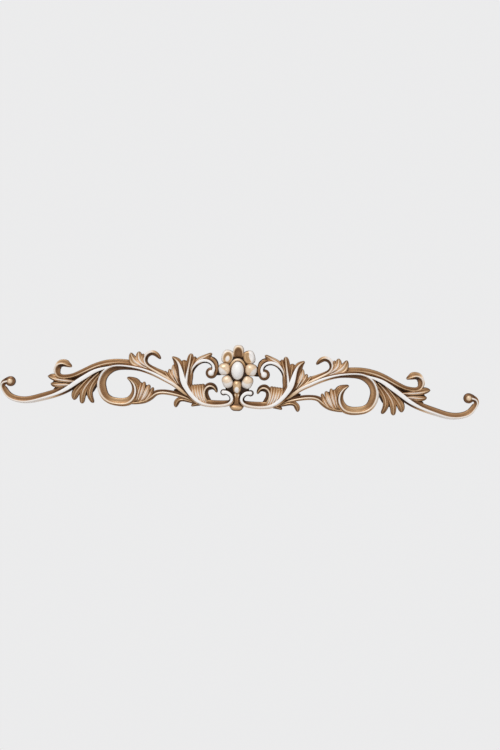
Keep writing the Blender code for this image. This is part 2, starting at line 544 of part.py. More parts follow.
def box(name, low, high):
    """Plain box between two corners."""
    bm = bmesh.new()
    bmesh.ops.create_cube(bm, size=1.0)
    middle = (Vector(low) + Vector(high)) / 2
    place = Matrix.Translation(middle) @ Matrix.Diagonal((*(Vector(high) - Vector(low)), 1.0))
    bmesh.ops.transform(bm, matrix=place, verts=bm.verts[:])
    return finish_mesh(name, bm)


def gold_paint():
    """Bronze-gold paint."""
    material = bpy.data.materials.new("bronze_gold")
    material.use_nodes = True
    shader = material.node_tree.nodes["Principled BSDF"]
    shader.inputs["Base Color"].default_value = GOLD
    shader.inputs["Roughness"].default_value = GOLD_ROUGHNESS
    return material


def clear_scene():
    """Empty the file."""
    for item in list(bpy.data.objects):
        bpy.data.objects.remove(item, do_unlink=True)
    for item in list(bpy.data.meshes):
        bpy.data.meshes.remove(item)


def main():
    """Model the half, mirror it, add the flower and cut the back flat."""
    clear_scene()
    pieces = [swept(spec) for spec in BANDS + GROUNDS + fluted_leaf()]
    pieces += [eye(f"eye_{i + 1}", *spec) for i, spec in enumerate(EYES)]
    half = combine(pieces[0], pieces[1:], 'UNION')
    moulding = combine(both_sides(half), flower(), 'UNION')
    moulding.name = "scroll_moulding"
    moulding.data.name = "scroll_moulding"
    flush(moulding)
    moulding.data.materials.clear()
    moulding.data.materials.append(gold_paint())

    parts = bpy.data.collections.new("scroll_applique")
    cutters = bpy.data.collections.new("cutters")
    bpy.context.scene.collection.children.link(parts)
    bpy.context.scene.collection.children.link(cutters)
    parts.objects.link(moulding)
    behind = box("behind_back", BEHIND_LOW, BEHIND_HIGH)
    behind.display_type = 'WIRE'
    behind.hide_render = True
    cutters.objects.link(behind)
    cut = moulding.modifiers.new("flat_back", 'BOOLEAN')
    cut.operation = 'DIFFERENCE'
    cut.solver = 'EXACT'
    cut.use_self = True
    cut.object = behind


main()
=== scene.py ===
import math

import bmesh
import bpy
import numpy as np
from mathutils import Matrix, Vector
from mathutils.bvhtree import BVHTree
from numpy.lib.stride_tricks import sliding_window_view


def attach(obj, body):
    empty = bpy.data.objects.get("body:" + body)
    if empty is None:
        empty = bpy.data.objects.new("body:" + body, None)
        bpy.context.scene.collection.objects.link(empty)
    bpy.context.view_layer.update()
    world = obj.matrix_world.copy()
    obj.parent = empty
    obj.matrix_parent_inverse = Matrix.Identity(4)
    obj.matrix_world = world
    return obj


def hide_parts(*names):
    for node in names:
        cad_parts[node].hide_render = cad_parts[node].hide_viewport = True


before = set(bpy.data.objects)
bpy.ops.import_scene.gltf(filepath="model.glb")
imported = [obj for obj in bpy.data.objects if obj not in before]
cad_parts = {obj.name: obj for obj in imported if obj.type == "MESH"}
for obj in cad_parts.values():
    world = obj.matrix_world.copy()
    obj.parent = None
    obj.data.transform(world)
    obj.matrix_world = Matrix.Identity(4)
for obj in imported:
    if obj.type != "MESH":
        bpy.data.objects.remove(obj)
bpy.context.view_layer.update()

# Long carved bands of the left half. On the real piece they are polyurethane, cast in one with
# everything else: each is a raised ridge with a hollowed, gilded cove beside it. A band is its
# ridge line with its widths, its height and its paint along that line; all tables are in mm.
MM = 0.001

# Paint runs from umber glaze (-1) over bronze gold (0) and cream (0.5) to pearl white (1). Along
# the bands the values also hold painted shade, darker on coves and walls that lie in shadow, as in
# the valley beside the tail and under the hook's ridge, and painted highlight, cream where light
# falls on ridges.
PLAIN_BAND = {"pointed": True, "ridge": (0.85, 0.85), "left_cove": (0.05, 0.05),
              "right_cove": (0.05, 0.05), "left_edge": (-0.8, -0.8), "right_edge": (-0.8, -0.8)}


def around(eye, *turns):
    """Knots on a curl: pairs of angle and radius about its eye."""
    knots = []
    for angle, radius in turns:
        a = math.radians(angle)
        knots.append((eye[0] + radius * math.cos(a), eye[1] + radius * math.sin(a)))
    return knots


def band(name, path, **table):
    """One band: its ridge line, then sizes and paint at even steps along that line."""
    return {**PLAIN_BAND, "name": name, "path": path, **table}


C_EYE = (-250.0, -41.0)
HOOK_EYE = (-366.0, -14.0)
SMALL_HOOK_EYE = (-178.0, 15.0)

LONG_BANDS = [
    band("tail", [(-262, -1.8), (-295, -11.5), (-315, -23.5), (-335, -37), (-355, -51.5),
                  (-380, -64.5), (-410, -74.5), (-440, -82.3), (-465, -80.5), (-481, -73.5),
                  (-491, -61), (-494.6, -51), (-491.5, -44), (-482, -41)],
         left=(2.5, 8, 8, 8, 6, 4.6, 3, 2.4, 2.4, 4.6, 9),
         crown=(1.1, 3.6, 4.2, 3.7, 2, 1.3, 1.1, 1, 1, 1.2, 1.6),
         right=(2, 7.5, 7.5, 9, 11, 11, 10.5, 10.5, 9.4, 6.4, 5),
         rise=(12.6, 14.6, 15, 14, 13, 12, 12, 12, 12), pointed=False,
         ridge=(1, 1, 1, 1, 0.95, 0.8, 0.75, 0.75, 0.8, 0.75),
         left_cove=(-0.7, -0.9, -0.9, -0.6, 0.6, 0.95, 1, 1, 1, 0.1, -0.7),
         left_edge=(-1, -1, -1, -1, 0, 0.9, 1, 1, 1, -0.4, -1),
         right_cove=(0, -0.1, -0.25, -0.4, -0.2, -0.12, -0.1, -0.05, -0.1, -0.25, -0.5)),
    band("arch", [(-100, -58), (-111, -51), (-121, -42.5), (-133, -33.5), (-150, -25),
                  (-170, -15.3), (-190, -8), (-210, -3), (-230, -0.3)]
         + around(C_EYE, (90, 41.5), (112, 41.5), (135, 41), (158, 40), (180, 39.5), (203, 39),
                  (225, 39), (248, 38.3), (270, 38), (292, 41), (310, 43.5), (328, 42.5), (344, 40),
                  (361, 36), (379, 30.7), (401, 25.2)),
         left=(4, 4.5, 5.5, 6, 6, 9, 13, 14, 15, 12.5, 12, 12, 9.5, 6, 1.5),
         crown=(1.5, 2.8, 2.5, 2.1, 1.5, 1.2, 1.2, 1.3, 1.3, 1.2, 1.2, 1.3, 1.5, 1.3, 0.5),
         right=(4, 6, 6, 6, 5, 4, 4, 4, 4.2, 4.5, 5, 6, 7, 8, 2),
         rise=(7, 13.5, 15, 15, 14.5, 14, 13, 13, 13, 12, 9),
         ridge=(0, 0.35, 0.85, 1, 1, 1, 1, 1, 0.8, 0.55, 0.5, 0.6, 0.9, 0.75, 0.1),
         left_cove=(0.1, 0.3, 0.6, 0.4, -0.5, -0.5, -0.15, -0.1, -0.15, 0.2, 0.1, -0.1, -0.3, -0.4),
         left_edge=(0, 0.2, 0.3, 0.2, -0.7, -0.8, -0.7, -0.8, -0.7, -0.7, -0.8, -0.8, -0.9),
         right_cove=(-0.5, 0, 0.1, 0.2, 0.1, 0, 0.2, 0.85, 0.85, 0.4, 0.1, 0.2, 0.1, -0.1, -0.3),
         right_edge=(-0.8, -0.7, -0.6, -0.6, -0.6, -0.7, -0.3, 0.75, 0.75, -0.3, -0.7, -0.8, -0.8,
                     -0.8)),
    band("upper_hook", [(-222, 4.5), (-245, 6), (-262, 5.3), (-280, 2), (-300, -5), (-320, -15),
                        (-335, -22.5), (-348, -27.5)]
         + around(HOOK_EYE, (270, 15.6), (240, 16.0), (215, 16.5), (190, 16.8), (165, 16.7),
                  (143, 16.2), (117, 15.4), (90, 14.2), (65, 13.6), (45, 15), (25, 20)),
         left=(4, 4, 4, 4, 3, 2.6, 3, 4, 8.4, 9.4, 3),
         crown=(0.5, 0.7, 0.9, 0.9, 0.8, 0.8, 1.1, 1.1, 1.1, 1, 0.6),
         right=(8.5, 8.3, 8, 7.5, 7, 7.5, 10.6, 11.6, 7.5, 5, 2.4),
         rise=(7, 11.5, 12, 12, 12, 12, 12, 12, 11, 9),
         ridge=(-0.2, 0.3, 0.5, 0.4, 0.1, 0.3, 0.65, 0.7, 0.6, 0.35, 0.1),
         left_cove=(0, 0.2, 0.3, 0.1, -0.2, -0.3, 0.2, 0.9, 0.1, 0, -0.2),
         left_edge=(-0.5, -0.5, -0.4, -0.6, -0.8, -0.7, 0.3, 0.6, -0.2, -0.5, -0.7),
         right_cove=(0, 0, -0.05, -0.1, -0.2, -0.2, -0.2, -0.35, -0.9, -0.3, 0.2)),
    band("small_hook", [(-126, -34), (-138, -26.5), (-150, -19.5), (-165, -12), (-178, -5),
                        (-188, 1)]
         + around(SMALL_HOOK_EYE, (205, 17.2), (180, 17.3), (150, 17), (120, 16.6), (90, 16),
                  (57, 14.8), (24, 14.8), (6, 15.6)), left=(3, 4, 4, 4, 4, 4, 3.4, 2),
         crown=(1.2, 1.8, 1.7, 1.3, 1.2, 1.1, 0.8, 0.5), right=(8, 10, 7, 5.5, 6.5, 6.8, 6.4, 2),
         rise=(7, 12, 12, 12, 12, 12, 11, 8), ridge=(0.3, 0.5, 0.55, 0.65, 0.85, 0.75, 0, -0.4),
         left_cove=(0.3, 0.35, 0.45, 0.8, 0.85, 0.85, 0.2, -0.4),
         left_edge=(-0.2, -0.2, 0, 0.7, 0.8, 0.8, -0.3, -0.8),
         right_cove=(0.1, 0.1, 0, -0.4, -0.6, -0.5, -0.3, -0.4),
         right_edge=(-0.5, -0.5, -0.6, -0.9, -1, -1, -0.9)),
    band("main_stem", [(-28, -47.3), (-22, -47), (-15, -50.3), (-10.3, -57), (-10.5, -64.5),
                       (-16, -70.5), (-27, -74), (-42, -75.6), (-58, -75), (-73, -71.5), (-84, -65),
                       (-92.5, -57), (-100.5, -47.5), (-107, -37.5), (-112, -27), (-115.5, -15),
                       (-118.5, -3), (-122.5, 8), (-128.5, 16), (-138, 22.6)],
         left=(6, 5.5, 5, 5, 4.5, 4, 4.5, 6, 8, 10, 12, 11, 11, 10, 2),
         crown=(3.2, 3.2, 2.8, 2.3, 1.8, 1.7, 1.9, 2.8, 3.6, 4.2, 5.2, 4.6, 2.8, 1.4, 0.5),
         right=(6, 5.5, 5.5, 6, 9, 11, 11, 9, 8, 8, 9, 7, 6, 7, 2),
         rise=(13, 14, 15, 15, 15, 15, 16, 17, 17, 17, 17, 16, 15, 14, 11),
         ridge=(1, 1, 1, 0.95, 0.75, 0.7, 0.8, 1, 1, 1, 1, 1, 1, 0.65, 0.1),
         left_cove=(-0.6, -0.5, -0.3, 0.6, 0.85, 0.85, 0.8, 0.5, -0.2, -0.4, -0.35, -0.35, -0.35,
                    -0.2),
         left_edge=(-1, -1, -0.9, 0.2, 0.8, 0.8, 0.6, -0.3, -0.9, -1, -1, -1, -0.9, -0.8),
         right_cove=(-0.7, -0.7, -0.7, -0.5, -0.3, -0.25, 0.4, 0.5, 0.3, 0.1, -0.3, -0.1, 0.1,
                     0.05),
         right_edge=(-1, -1, -1, -1, -0.9, -0.3, 0.3, 0.3, -0.5, -0.8, -0.9, -0.9, -0.9)),
    band("middle_prong", [(-104, -42), (-106, -30), (-105.3, -17), (-103, -3), (-100.5, 12),
                          (-98, 31)], left=(6, 5, 4, 5.6, 7.8, 5),
         crown=(0.6, 1.9, 1.8, 1.4, 1.2, 0.8), right=(11, 12, 12.5, 10.5, 7.5, 4.6),
         rise=(6, 14.5, 15.5, 15, 14, 11), ridge=(1, 1, 1, 0.8, 0.6, 0.4),
         left_cove=(0, 0.1, 0.2, -0.1, -0.2, -0.15),
         right_cove=(-0.2, -0.2, -0.25, -0.25, -0.15, -0.15)),
    band("inner_scroll", [(-98.5, -17), (-95, -2), (-89, 7.5), (-81, 14.2), (-71, 17.3),
                          (-61.5, 16.3), (-54, 11.5), (-50, 4), (-50.5, -3), (-54, -8)],
         left=(2, 4, 6, 6, 6, 7, 8, 8.5, 8, 7),
         crown=(0.6, 1.2, 2, 2.5, 2.6, 2.4, 2.2, 2.4, 2.8, 3),
         right=(4, 5, 5.5, 5.4, 5.4, 5.2, 5, 5, 6, 7), rise=(6, 13.4, 15, 15, 15, 15, 14, 14, 14),
         pointed=False, ridge=(0.2, 0.75, 0.9, 1, 1, 1, 1, 1, 1),
         left_cove=(0, 0.2, 0.4, 0.5, 0.3, -0.2, -0.4, -0.5, -0.5),
         right_cove=(-0.4, -0.6, -0.7, -0.8, -0.8, -0.8, -0.8, -0.8),
         right_edge=(-0.9, -0.9, -1, -1, -1, -1, -1)),
    band("outer_rim", [(-64, 22), (-55, 21.5), (-47.5, 15), (-44, 5.5), (-43.8, -4), (-48, -12.5)],
         left=(4, 5, 5.4, 4, 3.6, 4), crown=(1.5, 2.4, 2.8, 2.4, 2.2, 2), right=(4, 5, 6, 6, 6, 5),
         rise=(6, 9.6, 10, 10, 10, 8), pointed=False, ridge=(-0.3, -0.25, -0.2, -0.3, -0.35),
         left_cove=(-0.4, -0.4, -0.35, -0.4, -0.4), right_cove=(-0.3, -0.3, -0.35, -0.4, -0.5)),
    band("lower_stem", [(-92, -68), (-106, -61.5), (-122, -56.8), (-140, -53), (-157, -52),
                        (-169, -55), (-179, -63), (-191, -71), (-206, -75), (-222, -77)],
         left=(3, 4, 4, 4.6, 4.6, 4.6, 5.5, 5, 4, 3),
         crown=(0.6, 1.1, 1.2, 1.2, 1.2, 1.1, 1, 1, 1, 1), right=(4, 5, 6.5, 6.2, 6, 7, 8, 6, 5, 4),
         rise=(5.5, 9.6, 10.5, 10.5, 10.5, 10.5, 10.5, 10, 9),
         ridge=(0, 0.35, 0.5, 0.6, 0.55, 0.45, 0.2, 0.1, 0.1),
         left_cove=(0, 0.1, 0.2, 0.25, 0.15, 0, 0, 0.1, 0.05),
         right_cove=(-0.2, -0.3, -0.45, -0.5, -0.4, -0.3, -0.2, -0.1)),
    band("under_leaf", [(-88, -71), (-100, -67.5), (-112, -65), (-120.5, -67), (-125.5, -73.5),
                        (-127, -82.5)], left=(3, 4, 4.5, 4.6, 5.4, 2.6),
         crown=(0.6, 1, 1, 1, 1, 0.7), right=(4, 5, 5.8, 6.2, 6.2, 3),
         rise=(5.5, 9, 10, 10, 9.5, 7), ridge=(0, 0.1, 0.15, 0.1, 0, -0.15),
         left_cove=(-0.15, -0.2, -0.3, -0.35, -0.35), right_cove=(0.1, 0.1, 0.1, 0, -0.15)),
    band("inner_hook", [(-55, -74), (-62.5, -65.5), (-67.5, -56), (-68, -47), (-64.5, -39.5),
                        (-58, -35.5), (-51, -36.2), (-45.5, -41), (-42, -48.5)],
         left=(3, 3.5, 4, 4.5, 6, 7.6, 7, 5, 2), crown=(0.6, 1.1, 1.3, 1.3, 1.3, 1.3, 1.2, 1, 0.6),
         right=(7, 8.4, 8.6, 8, 7.5, 8, 7, 4, 2), rise=(6, 11, 12.5, 12.5, 12.5, 12, 11.5, 10, 7.5),
         ridge=(-0.4, 0.2, 0.55, 0.6, 0.6, 0.5, 0.3, 0),
         left_cove=(-0.3, -0.1, -0.2, -0.4, -0.6, -0.7, -0.6), left_edge=(-0.8, -0.8, -0.9, -1, -1),
         right_cove=(-0.4, -0.55, -0.6, -0.65, -0.75, -0.7, -0.4), right_edge=(-0.9, -1, -1, -1)),
]

# A ridge line is evened out over this many of its points, this many times
LINE_WINDOW = 15
LINE_PASSES = 2


def between(points, times, span, s):
    """Points at s between neighbours, which are reached at times that are span apart."""
    return [((times[j + span] - s) * points[j] + (s - times[j]) * points[j + 1])
            / (times[j + span] - times[j]) for j in range(len(points) - 1)]


def flowing_line(knots, per_span=24):
    """Smooth line through the knots, with tighter spans where the knots are closer."""
    pts = [np.array(k, float) for k in knots]
    pts = [2 * pts[0] - pts[1]] + pts + [2 * pts[-1] - pts[-2]]
    line = []
    for i in range(1, len(pts) - 2):
        p = pts[i - 1:i + 3]
        t = [0.0]
        for a, b in zip(p[:-1], p[1:]):
            t.append(t[-1] + math.sqrt(np.linalg.norm(b - a)))
        for k in range(per_span):
            s = t[1] + (t[2] - t[1]) * k / per_span
            b = between(between(p, t, 1, s), t, 2, s)
            line.append(((t[2] - s) * b[0] + (s - t[1]) * b[1]) / (t[2] - t[1]))
    line.append(pts[-2])
    line = np.array(line)
    half, even = LINE_WINDOW // 2, np.ones(LINE_WINDOW) / LINE_WINDOW
    for _ in range(LINE_PASSES):
        padded = np.pad(line, ((half, half), (0, 0)), "reflect", reflect_type="odd")
        line = np.stack([np.convolve(padded[:, k], even, "valid") for k in range(2)], axis=1)
    return line


def eased(values, f):
    """Values given at even steps of a band, read at fractions f with a smooth curve."""
    v = np.asarray(values, float)
    x = np.linspace(0.0, 1.0, len(v))
    slope = np.gradient(v, x)
    i = np.clip((f * (len(v) - 1)).astype(int), 0, len(v) - 2)
    h = x[1]
    t = (f - x[i]) / h
    lead = (2 * t**3 - 3 * t**2 + 1) * v[i] + (t**3 - 2 * t**2 + t) * h * slope[i]
    return lead + (-2 * t**3 + 3 * t**2) * v[i + 1] + (t**3 - t**2) * h * slope[i + 1]


def mark(mesh, label, values):
    """Store a number or a vector for each point of a mesh."""
    values = np.asarray(values, float)
    kind, field = ('FLOAT', "value") if values.ndim == 1 else ('FLOAT_VECTOR', "vector")
    mesh.attributes.new(label, kind, 'POINT').data.foreach_set(field, values.ravel())


# Stations stand at most this far apart and turned, along a ridge line
STATION_GAP = 3.2
STATION_TURN = math.radians(7.5)
FEWEST_STATIONS = 6
# A band narrows on the inside of a bend, so that it doesn't fold over itself
FOLD_LIMIT = 0.8
BEND_WINDOW = 25
LEAST_BEND = 1e-3
CROWN_SHARE = 0.8
# A pointed band closes to a rounded tip, with some more stations near its end
TIP_STEPS = (0.4, 0.7, 0.88, 1.0)
TIP_REACH = 1.3
TIP_LEAST = 2.0
TIP_STUB = 0.06
TIP_DIP = 0.35


def ridge_path(spec):
    """Path mesh of a band, one vertex a station, with sizes and paint as attributes."""
    line = flowing_line(spec["path"])
    seg = np.diff(line, axis=0)
    length = np.linalg.norm(seg, axis=1)
    heading = np.unwrap(np.arctan2(seg[:, 1], seg[:, 0]))
    turn = np.abs(np.diff(heading, prepend=heading[0]))
    work = np.concatenate(([0.0], np.cumsum(length / STATION_GAP + turn / STATION_TURN)))
    count = max(FEWEST_STATIONS, int(math.ceil(work[-1])) + 1)
    index = np.arange(len(line))
    picks = np.interp(np.linspace(0.0, work[-1], count), work, index)
    if spec["pointed"]:
        last, before = picks[-1], picks[-2]
        picks = np.concatenate((picks[:-1], before + (last - before) * np.array(TIP_STEPS)))

    def picked(values):
        if values.ndim == 1:
            return np.interp(picks, index, values)
        return np.stack([np.interp(picks, index, values[:, k]) for k in range(2)], axis=1)

    pos = picked(line)
    fraction = picks / index[-1]
    walked = picked(np.concatenate(([0.0], np.cumsum(length))))
    tangent = np.gradient(line, axis=0)
    pace = np.linalg.norm(tangent, axis=1)
    tangent = tangent / pace[:, None]
    bend = np.gradient(np.unwrap(np.arctan2(tangent[:, 1], tangent[:, 0]))) / pace
    room = FOLD_LIMIT / np.maximum(np.abs(bend), LEAST_BEND)
    for even in (np.min, np.mean):
        padded = np.pad(room, BEND_WINDOW // 2, "edge")
        room = even(sliding_window_view(padded, BEND_WINDOW), axis=1)
    aim = picked(tangent)
    aim = aim / np.linalg.norm(aim, axis=1)[:, None]
    bend, room = picked(bend), picked(room)
    row = {key: eased(values, fraction) for key, values in spec.items()
           if key not in ("name", "path", "pointed")}
    left, crown, right, rise = row["left"], row["crown"], row["right"], row["rise"]
    if spec["pointed"]:
        reach = TIP_REACH * max(left[-1], right[-1], TIP_LEAST)
        g = np.clip((walked - walked[-1] + reach) / reach, 0.0, 1.0)
        tip = np.sqrt(np.clip(1.0 - g**2, TIP_STUB**2, 1.0))
        left, crown, right = left * tip, crown * tip, right * tip
        rise = rise * (1.0 - TIP_DIP * g**2)
    left = np.where(bend > 0, np.minimum(left, room), left)
    right = np.where(bend < 0, np.minimum(right, room), right)
    crown = np.minimum(crown, CROWN_SHARE * np.minimum(left, right))
    mesh = bpy.data.meshes.new(spec["name"] + "_path")
    mesh.from_pydata([(x * MM, 0.0, z * MM) for x, z in pos],
                     [(i, i + 1) for i in range(len(pos) - 1)], [])
    mark(mesh, "across", np.stack([-aim[:, 1], 0 * rise, aim[:, 0]], axis=1))
    mark(mesh, "widths", np.stack([left, crown, right], axis=1) * MM)
    for hand in ("left", "right"):
        paint = (row[hand + "_edge"], row[hand + "_cove"], row["ridge"])
        mark(mesh, hand + "_paint", np.stack(paint, axis=1))
    mark(mesh, "rise", rise * MM)
    return mesh


# Painted highlight: a cream line along a low rib on each flank of a leaf section.
RIB_SHINE = 0.75
RIB_WIDTH = 0.12
CROWN_POINTS = (0.6, 0.0, -0.6)
NO_PAINT = (0, 0, 0)


def smooth(t):
    """Eased step from 0 to 1."""
    t = min(max(t, 0.0), 1.0)
    return t * t * (3 - 2 * t)


def carving_section(name, slope, crown_drop, edge_blend, ridge_blend, rib=None):
    """Cross-section of a carving: how far across, how high and which paint each point takes."""
    left = []
    for s, h in slope:
        e = 1 - smooth(s / edge_blend)
        r = smooth((s - ridge_blend) / (1 - ridge_blend))
        if rib:
            r += RIB_SHINE * math.exp(-((s - rib) / RIB_WIDTH) ** 2)
        left.append(((1 - s, s, 0), h, 0.0, (e, 1 - e - r, r), NO_PAINT))
    crown = [((0, c, 0), 1.0 - crown_drop * c * c, 0.0, (0, 0, 1), NO_PAINT)
             for c in CROWN_POINTS]
    right = [((0, -spread[1], -spread[0]), h, 0.0, NO_PAINT, mask)
             for spread, h, _, mask, _ in reversed(left)]
    feet = [((1, 0, 0), 0.0, 1.0, (1, 0, 0), NO_PAINT), ((0, 0, -1), 0.0, 1.0, NO_PAINT, (1, 0, 0))]
    rows = feet[:1] + left + crown + right + feet[1:]
    mesh = bpy.data.meshes.new(name)
    mesh.from_pydata([(0.0, 0.0, 0.0)] * len(rows), [], [])
    for label, column in zip(("spread", "lift", "foot", "left_mask", "right_mask"), zip(*rows)):
        mark(mesh, label, column)
    section = bpy.data.objects.new(name, mesh)
    bpy.context.scene.collection.objects.link(section)
    return section


BAND_SLOPE = ((0.0, 0.24), (0.035, 0.36), (0.1, 0.43), (0.22, 0.465), (0.4, 0.46), (0.58, 0.43),
              (0.72, 0.42), (0.82, 0.47), (0.9, 0.62), (0.96, 0.82), (1.0, 0.93))
band_section = carving_section("band_section", BAND_SLOPE, crown_drop=0.07, edge_blend=0.14,
                               ridge_blend=0.84)


def add_node(tree, kind, operation=None, data_type=None, **inputs):
    """Node of a tree, fed by sockets and values; i0, i1 and i2 are its inputs by number."""
    node = tree.nodes.new(kind)
    if operation:
        node.operation = operation
    if data_type:
        node.data_type = data_type
    for key, value in inputs.items():
        socket = node.inputs[int(key[1])] if key in ("i0", "i1", "i2") else node.inputs[key]
        if isinstance(value, bpy.types.NodeSocket):
            tree.links.new(value, socket)
        else:
            socket.default_value = value
    return node


def reckon(tree, operation, *values):
    """Outcome of a math node on sockets and numbers."""
    inputs = {f"i{k}": value for k, value in enumerate(values)}
    return add_node(tree, 'ShaderNodeMath', operation, **inputs).outputs[0]


def carving_tree():
    """Node tree that sweeps a carved section along a ridge line."""
    tree = bpy.data.node_groups.new("carved_band", 'GeometryNodeTree')
    for label, kind in (("Path", 'Geometry'), ("Section", 'Object'), ("Stations", 'Int'),
                        ("Section Points", 'Int'), ("Foot Depth", 'Float'),
                        ("Tool Wander", 'Float'), ("Wander Size", 'Float'), ("Seed", 'Int'),
                        ("Paint", 'Material')):
        tree.interface.new_socket(label, in_out='INPUT', socket_type='NodeSocket' + kind)
    tree.interface.new_socket("Carving", in_out='OUTPUT', socket_type='NodeSocketGeometry')
    links = tree.links
    given = tree.nodes.new('NodeGroupInput').outputs

    def step(*kind, **inputs):
        return add_node(tree, *kind, **inputs)

    def vectors(operation, first, second, result="Vector"):
        return step('ShaderNodeVectorMath', operation, i0=first, i1=second).outputs[result]

    def scaled(vector, size):
        return step('ShaderNodeVectorMath', 'SCALE', i0=vector, Scale=size).outputs["Vector"]

    tube = step('GeometryNodeMeshCylinder')
    tube.fill_type = 'NGON'
    spans = step('FunctionNodeIntegerMath', 'SUBTRACT', i0=given["Stations"], i1=1)
    links.new(given["Section Points"], tube.inputs["Vertices"])
    links.new(spans.outputs[0], tube.inputs["Side Segments"])
    number = step('GeometryNodeInputIndex').outputs[0]
    station, place = (step('FunctionNodeIntegerMath', operation, i0=number,
                           i1=given["Section Points"]).outputs[0]
                      for operation in ('DIVIDE_FLOOR', 'MODULO'))
    section = step('GeometryNodeObjectInfo', i0=given["Section"]).outputs["Geometry"]

    def sampled(source, value, kind, where):
        return step('GeometryNodeSampleIndex', data_type=kind, Geometry=source, Value=value,
                    Index=where).outputs["Value"]

    def read(source, label, kind, where):
        value = step('GeometryNodeInputNamedAttribute', data_type=kind, Name=label)
        return sampled(source, value.outputs["Attribute"], kind, where)

    def dot(path_label, section_label):
        return vectors('DOT_PRODUCT', read(given["Path"], path_label, 'FLOAT_VECTOR', station),
                       read(section, section_label, 'FLOAT_VECTOR', place), "Value")

    spot = sampled(given["Path"], step('GeometryNodeInputPosition').outputs[0], 'FLOAT_VECTOR',
                   station)
    offset = scaled(read(given["Path"], "across", 'FLOAT_VECTOR', station),
                    dot("widths", "spread"))
    height = reckon(tree, 'MULTIPLY', read(given["Path"], "rise", 'FLOAT', station),
                    read(section, "lift", 'FLOAT', place))
    below = reckon(tree, 'MULTIPLY', read(section, "foot", 'FLOAT', place), given["Foot Depth"])
    lean = step('ShaderNodeCombineXYZ', Y=reckon(tree, 'SUBTRACT', below, height)).outputs[0]
    surface = vectors('ADD', vectors('ADD', spot, offset), lean)

    chatter = step('ShaderNodeTexNoise', Vector=surface, Scale=given["Wander Size"])
    chatter.noise_dimensions = '4D'
    links.new(given["Seed"], chatter.inputs["W"])
    centred = vectors('SUBTRACT', chatter.outputs["Color"], (0.5, 0.5, 0.5))
    carved = vectors('ADD', surface, scaled(centred, given["Tool Wander"]))

    move = step('GeometryNodeSetPosition', Geometry=tube.outputs["Mesh"], Position=carved)
    colour = reckon(tree, 'ADD', dot("left_paint", "left_mask"), dot("right_paint", "right_mask"))
    store = step('GeometryNodeStoreNamedAttribute', data_type='FLOAT',
                 Geometry=move.outputs["Geometry"], Name="paint", Value=colour)
    real = step('GeometryNodeRealizeInstances', Geometry=store.outputs["Geometry"])
    finish = step('GeometryNodeSetMaterial', Geometry=real.outputs["Geometry"],
                  Material=given["Paint"])
    links.new(finish.outputs["Geometry"], tree.nodes.new('NodeGroupOutput').inputs[0])
    return tree


def plain_mesh(target):
    """Mesh that an object's modifiers give; the object itself is used up."""
    bpy.context.scene.collection.objects.link(target)
    graph = bpy.context.evaluated_depsgraph_get()
    graph.update()
    mesh = bpy.data.meshes.new_from_object(target.evaluated_get(graph))
    target.modifiers.clear()
    bpy.data.objects.remove(target, do_unlink=True)
    return mesh


def outward(mesh):
    """Turn a closed mesh so that its faces point outwards."""
    bm = bmesh.new()
    bm.from_mesh(mesh)
    if bm.calc_volume(signed=True) < 0:
        bmesh.ops.reverse_faces(bm, faces=bm.faces[:])
    bm.to_mesh(mesh)
    bm.free()


FOOT_DEPTH = 2.0
TOOL_WANDER = 0.12
WANDER_SIZE = 90.0
moulding_paint = bpy.data.materials.new("moulding_paint")
band_tree = carving_tree()
socket = {item.name: item.identifier for item in band_tree.interface.items_tree}


def carve(spec, section, seed):
    """Solid of one band, swept by the node tree."""
    path = bpy.data.objects.new(spec["name"], ridge_path(spec))
    sweep = path.modifiers.new("sweep", 'NODES')
    sweep.node_group = band_tree
    for label, value in (("Section", section), ("Stations", len(path.data.vertices)),
                         ("Section Points", len(section.data.vertices)),
                         ("Foot Depth", FOOT_DEPTH * MM), ("Tool Wander", TOOL_WANDER * MM),
                         ("Wander Size", WANDER_SIZE), ("Seed", seed), ("Paint", moulding_paint)):
        sweep[socket[label]] = value
    mesh = plain_mesh(path)
    outward(mesh)
    return bpy.data.objects.new(spec["name"], mesh)


carved = [carve(spec, band_section, seed) for seed, spec in enumerate(LONG_BANDS)]

# Acanthus leaves of the left half. The real ones grow out of the bands, in the same cast: each lobe
# has one sharp ridge, painted cream gold, partly rubbed gilding and partly painted highlight,
# between hollow flanks, over low dark ground.
LOBE_CROWN = 0.5
LEAF_SEED = 40
LEAF_SLOPE = ((0.0, 0.26), (0.05, 0.4), (0.13, 0.49), (0.22, 0.54), (0.3, 0.61), (0.38, 0.63),
              (0.46, 0.58), (0.55, 0.56), (0.66, 0.59), (0.78, 0.68), (0.9, 0.85), (1.0, 0.97))
leaf_section = carving_section("leaf_section", LEAF_SLOPE, crown_drop=0.03, edge_blend=0.16,
                               ridge_blend=0.6, rib=0.36)


def lobe(name, path, left, right, rise, ridge=(0.35, 0.5, 0.3), cove=(-0.12, -0.15),
         edge=(-0.7, -0.7)):
    """One lobe of a leaf, sloping both ways from a single ridge."""
    return band(name, path, left=left, crown=(LOBE_CROWN, LOBE_CROWN), right=right, rise=rise,
                ridge=ridge, left_cove=cove, right_cove=cove, left_edge=edge, right_edge=edge)


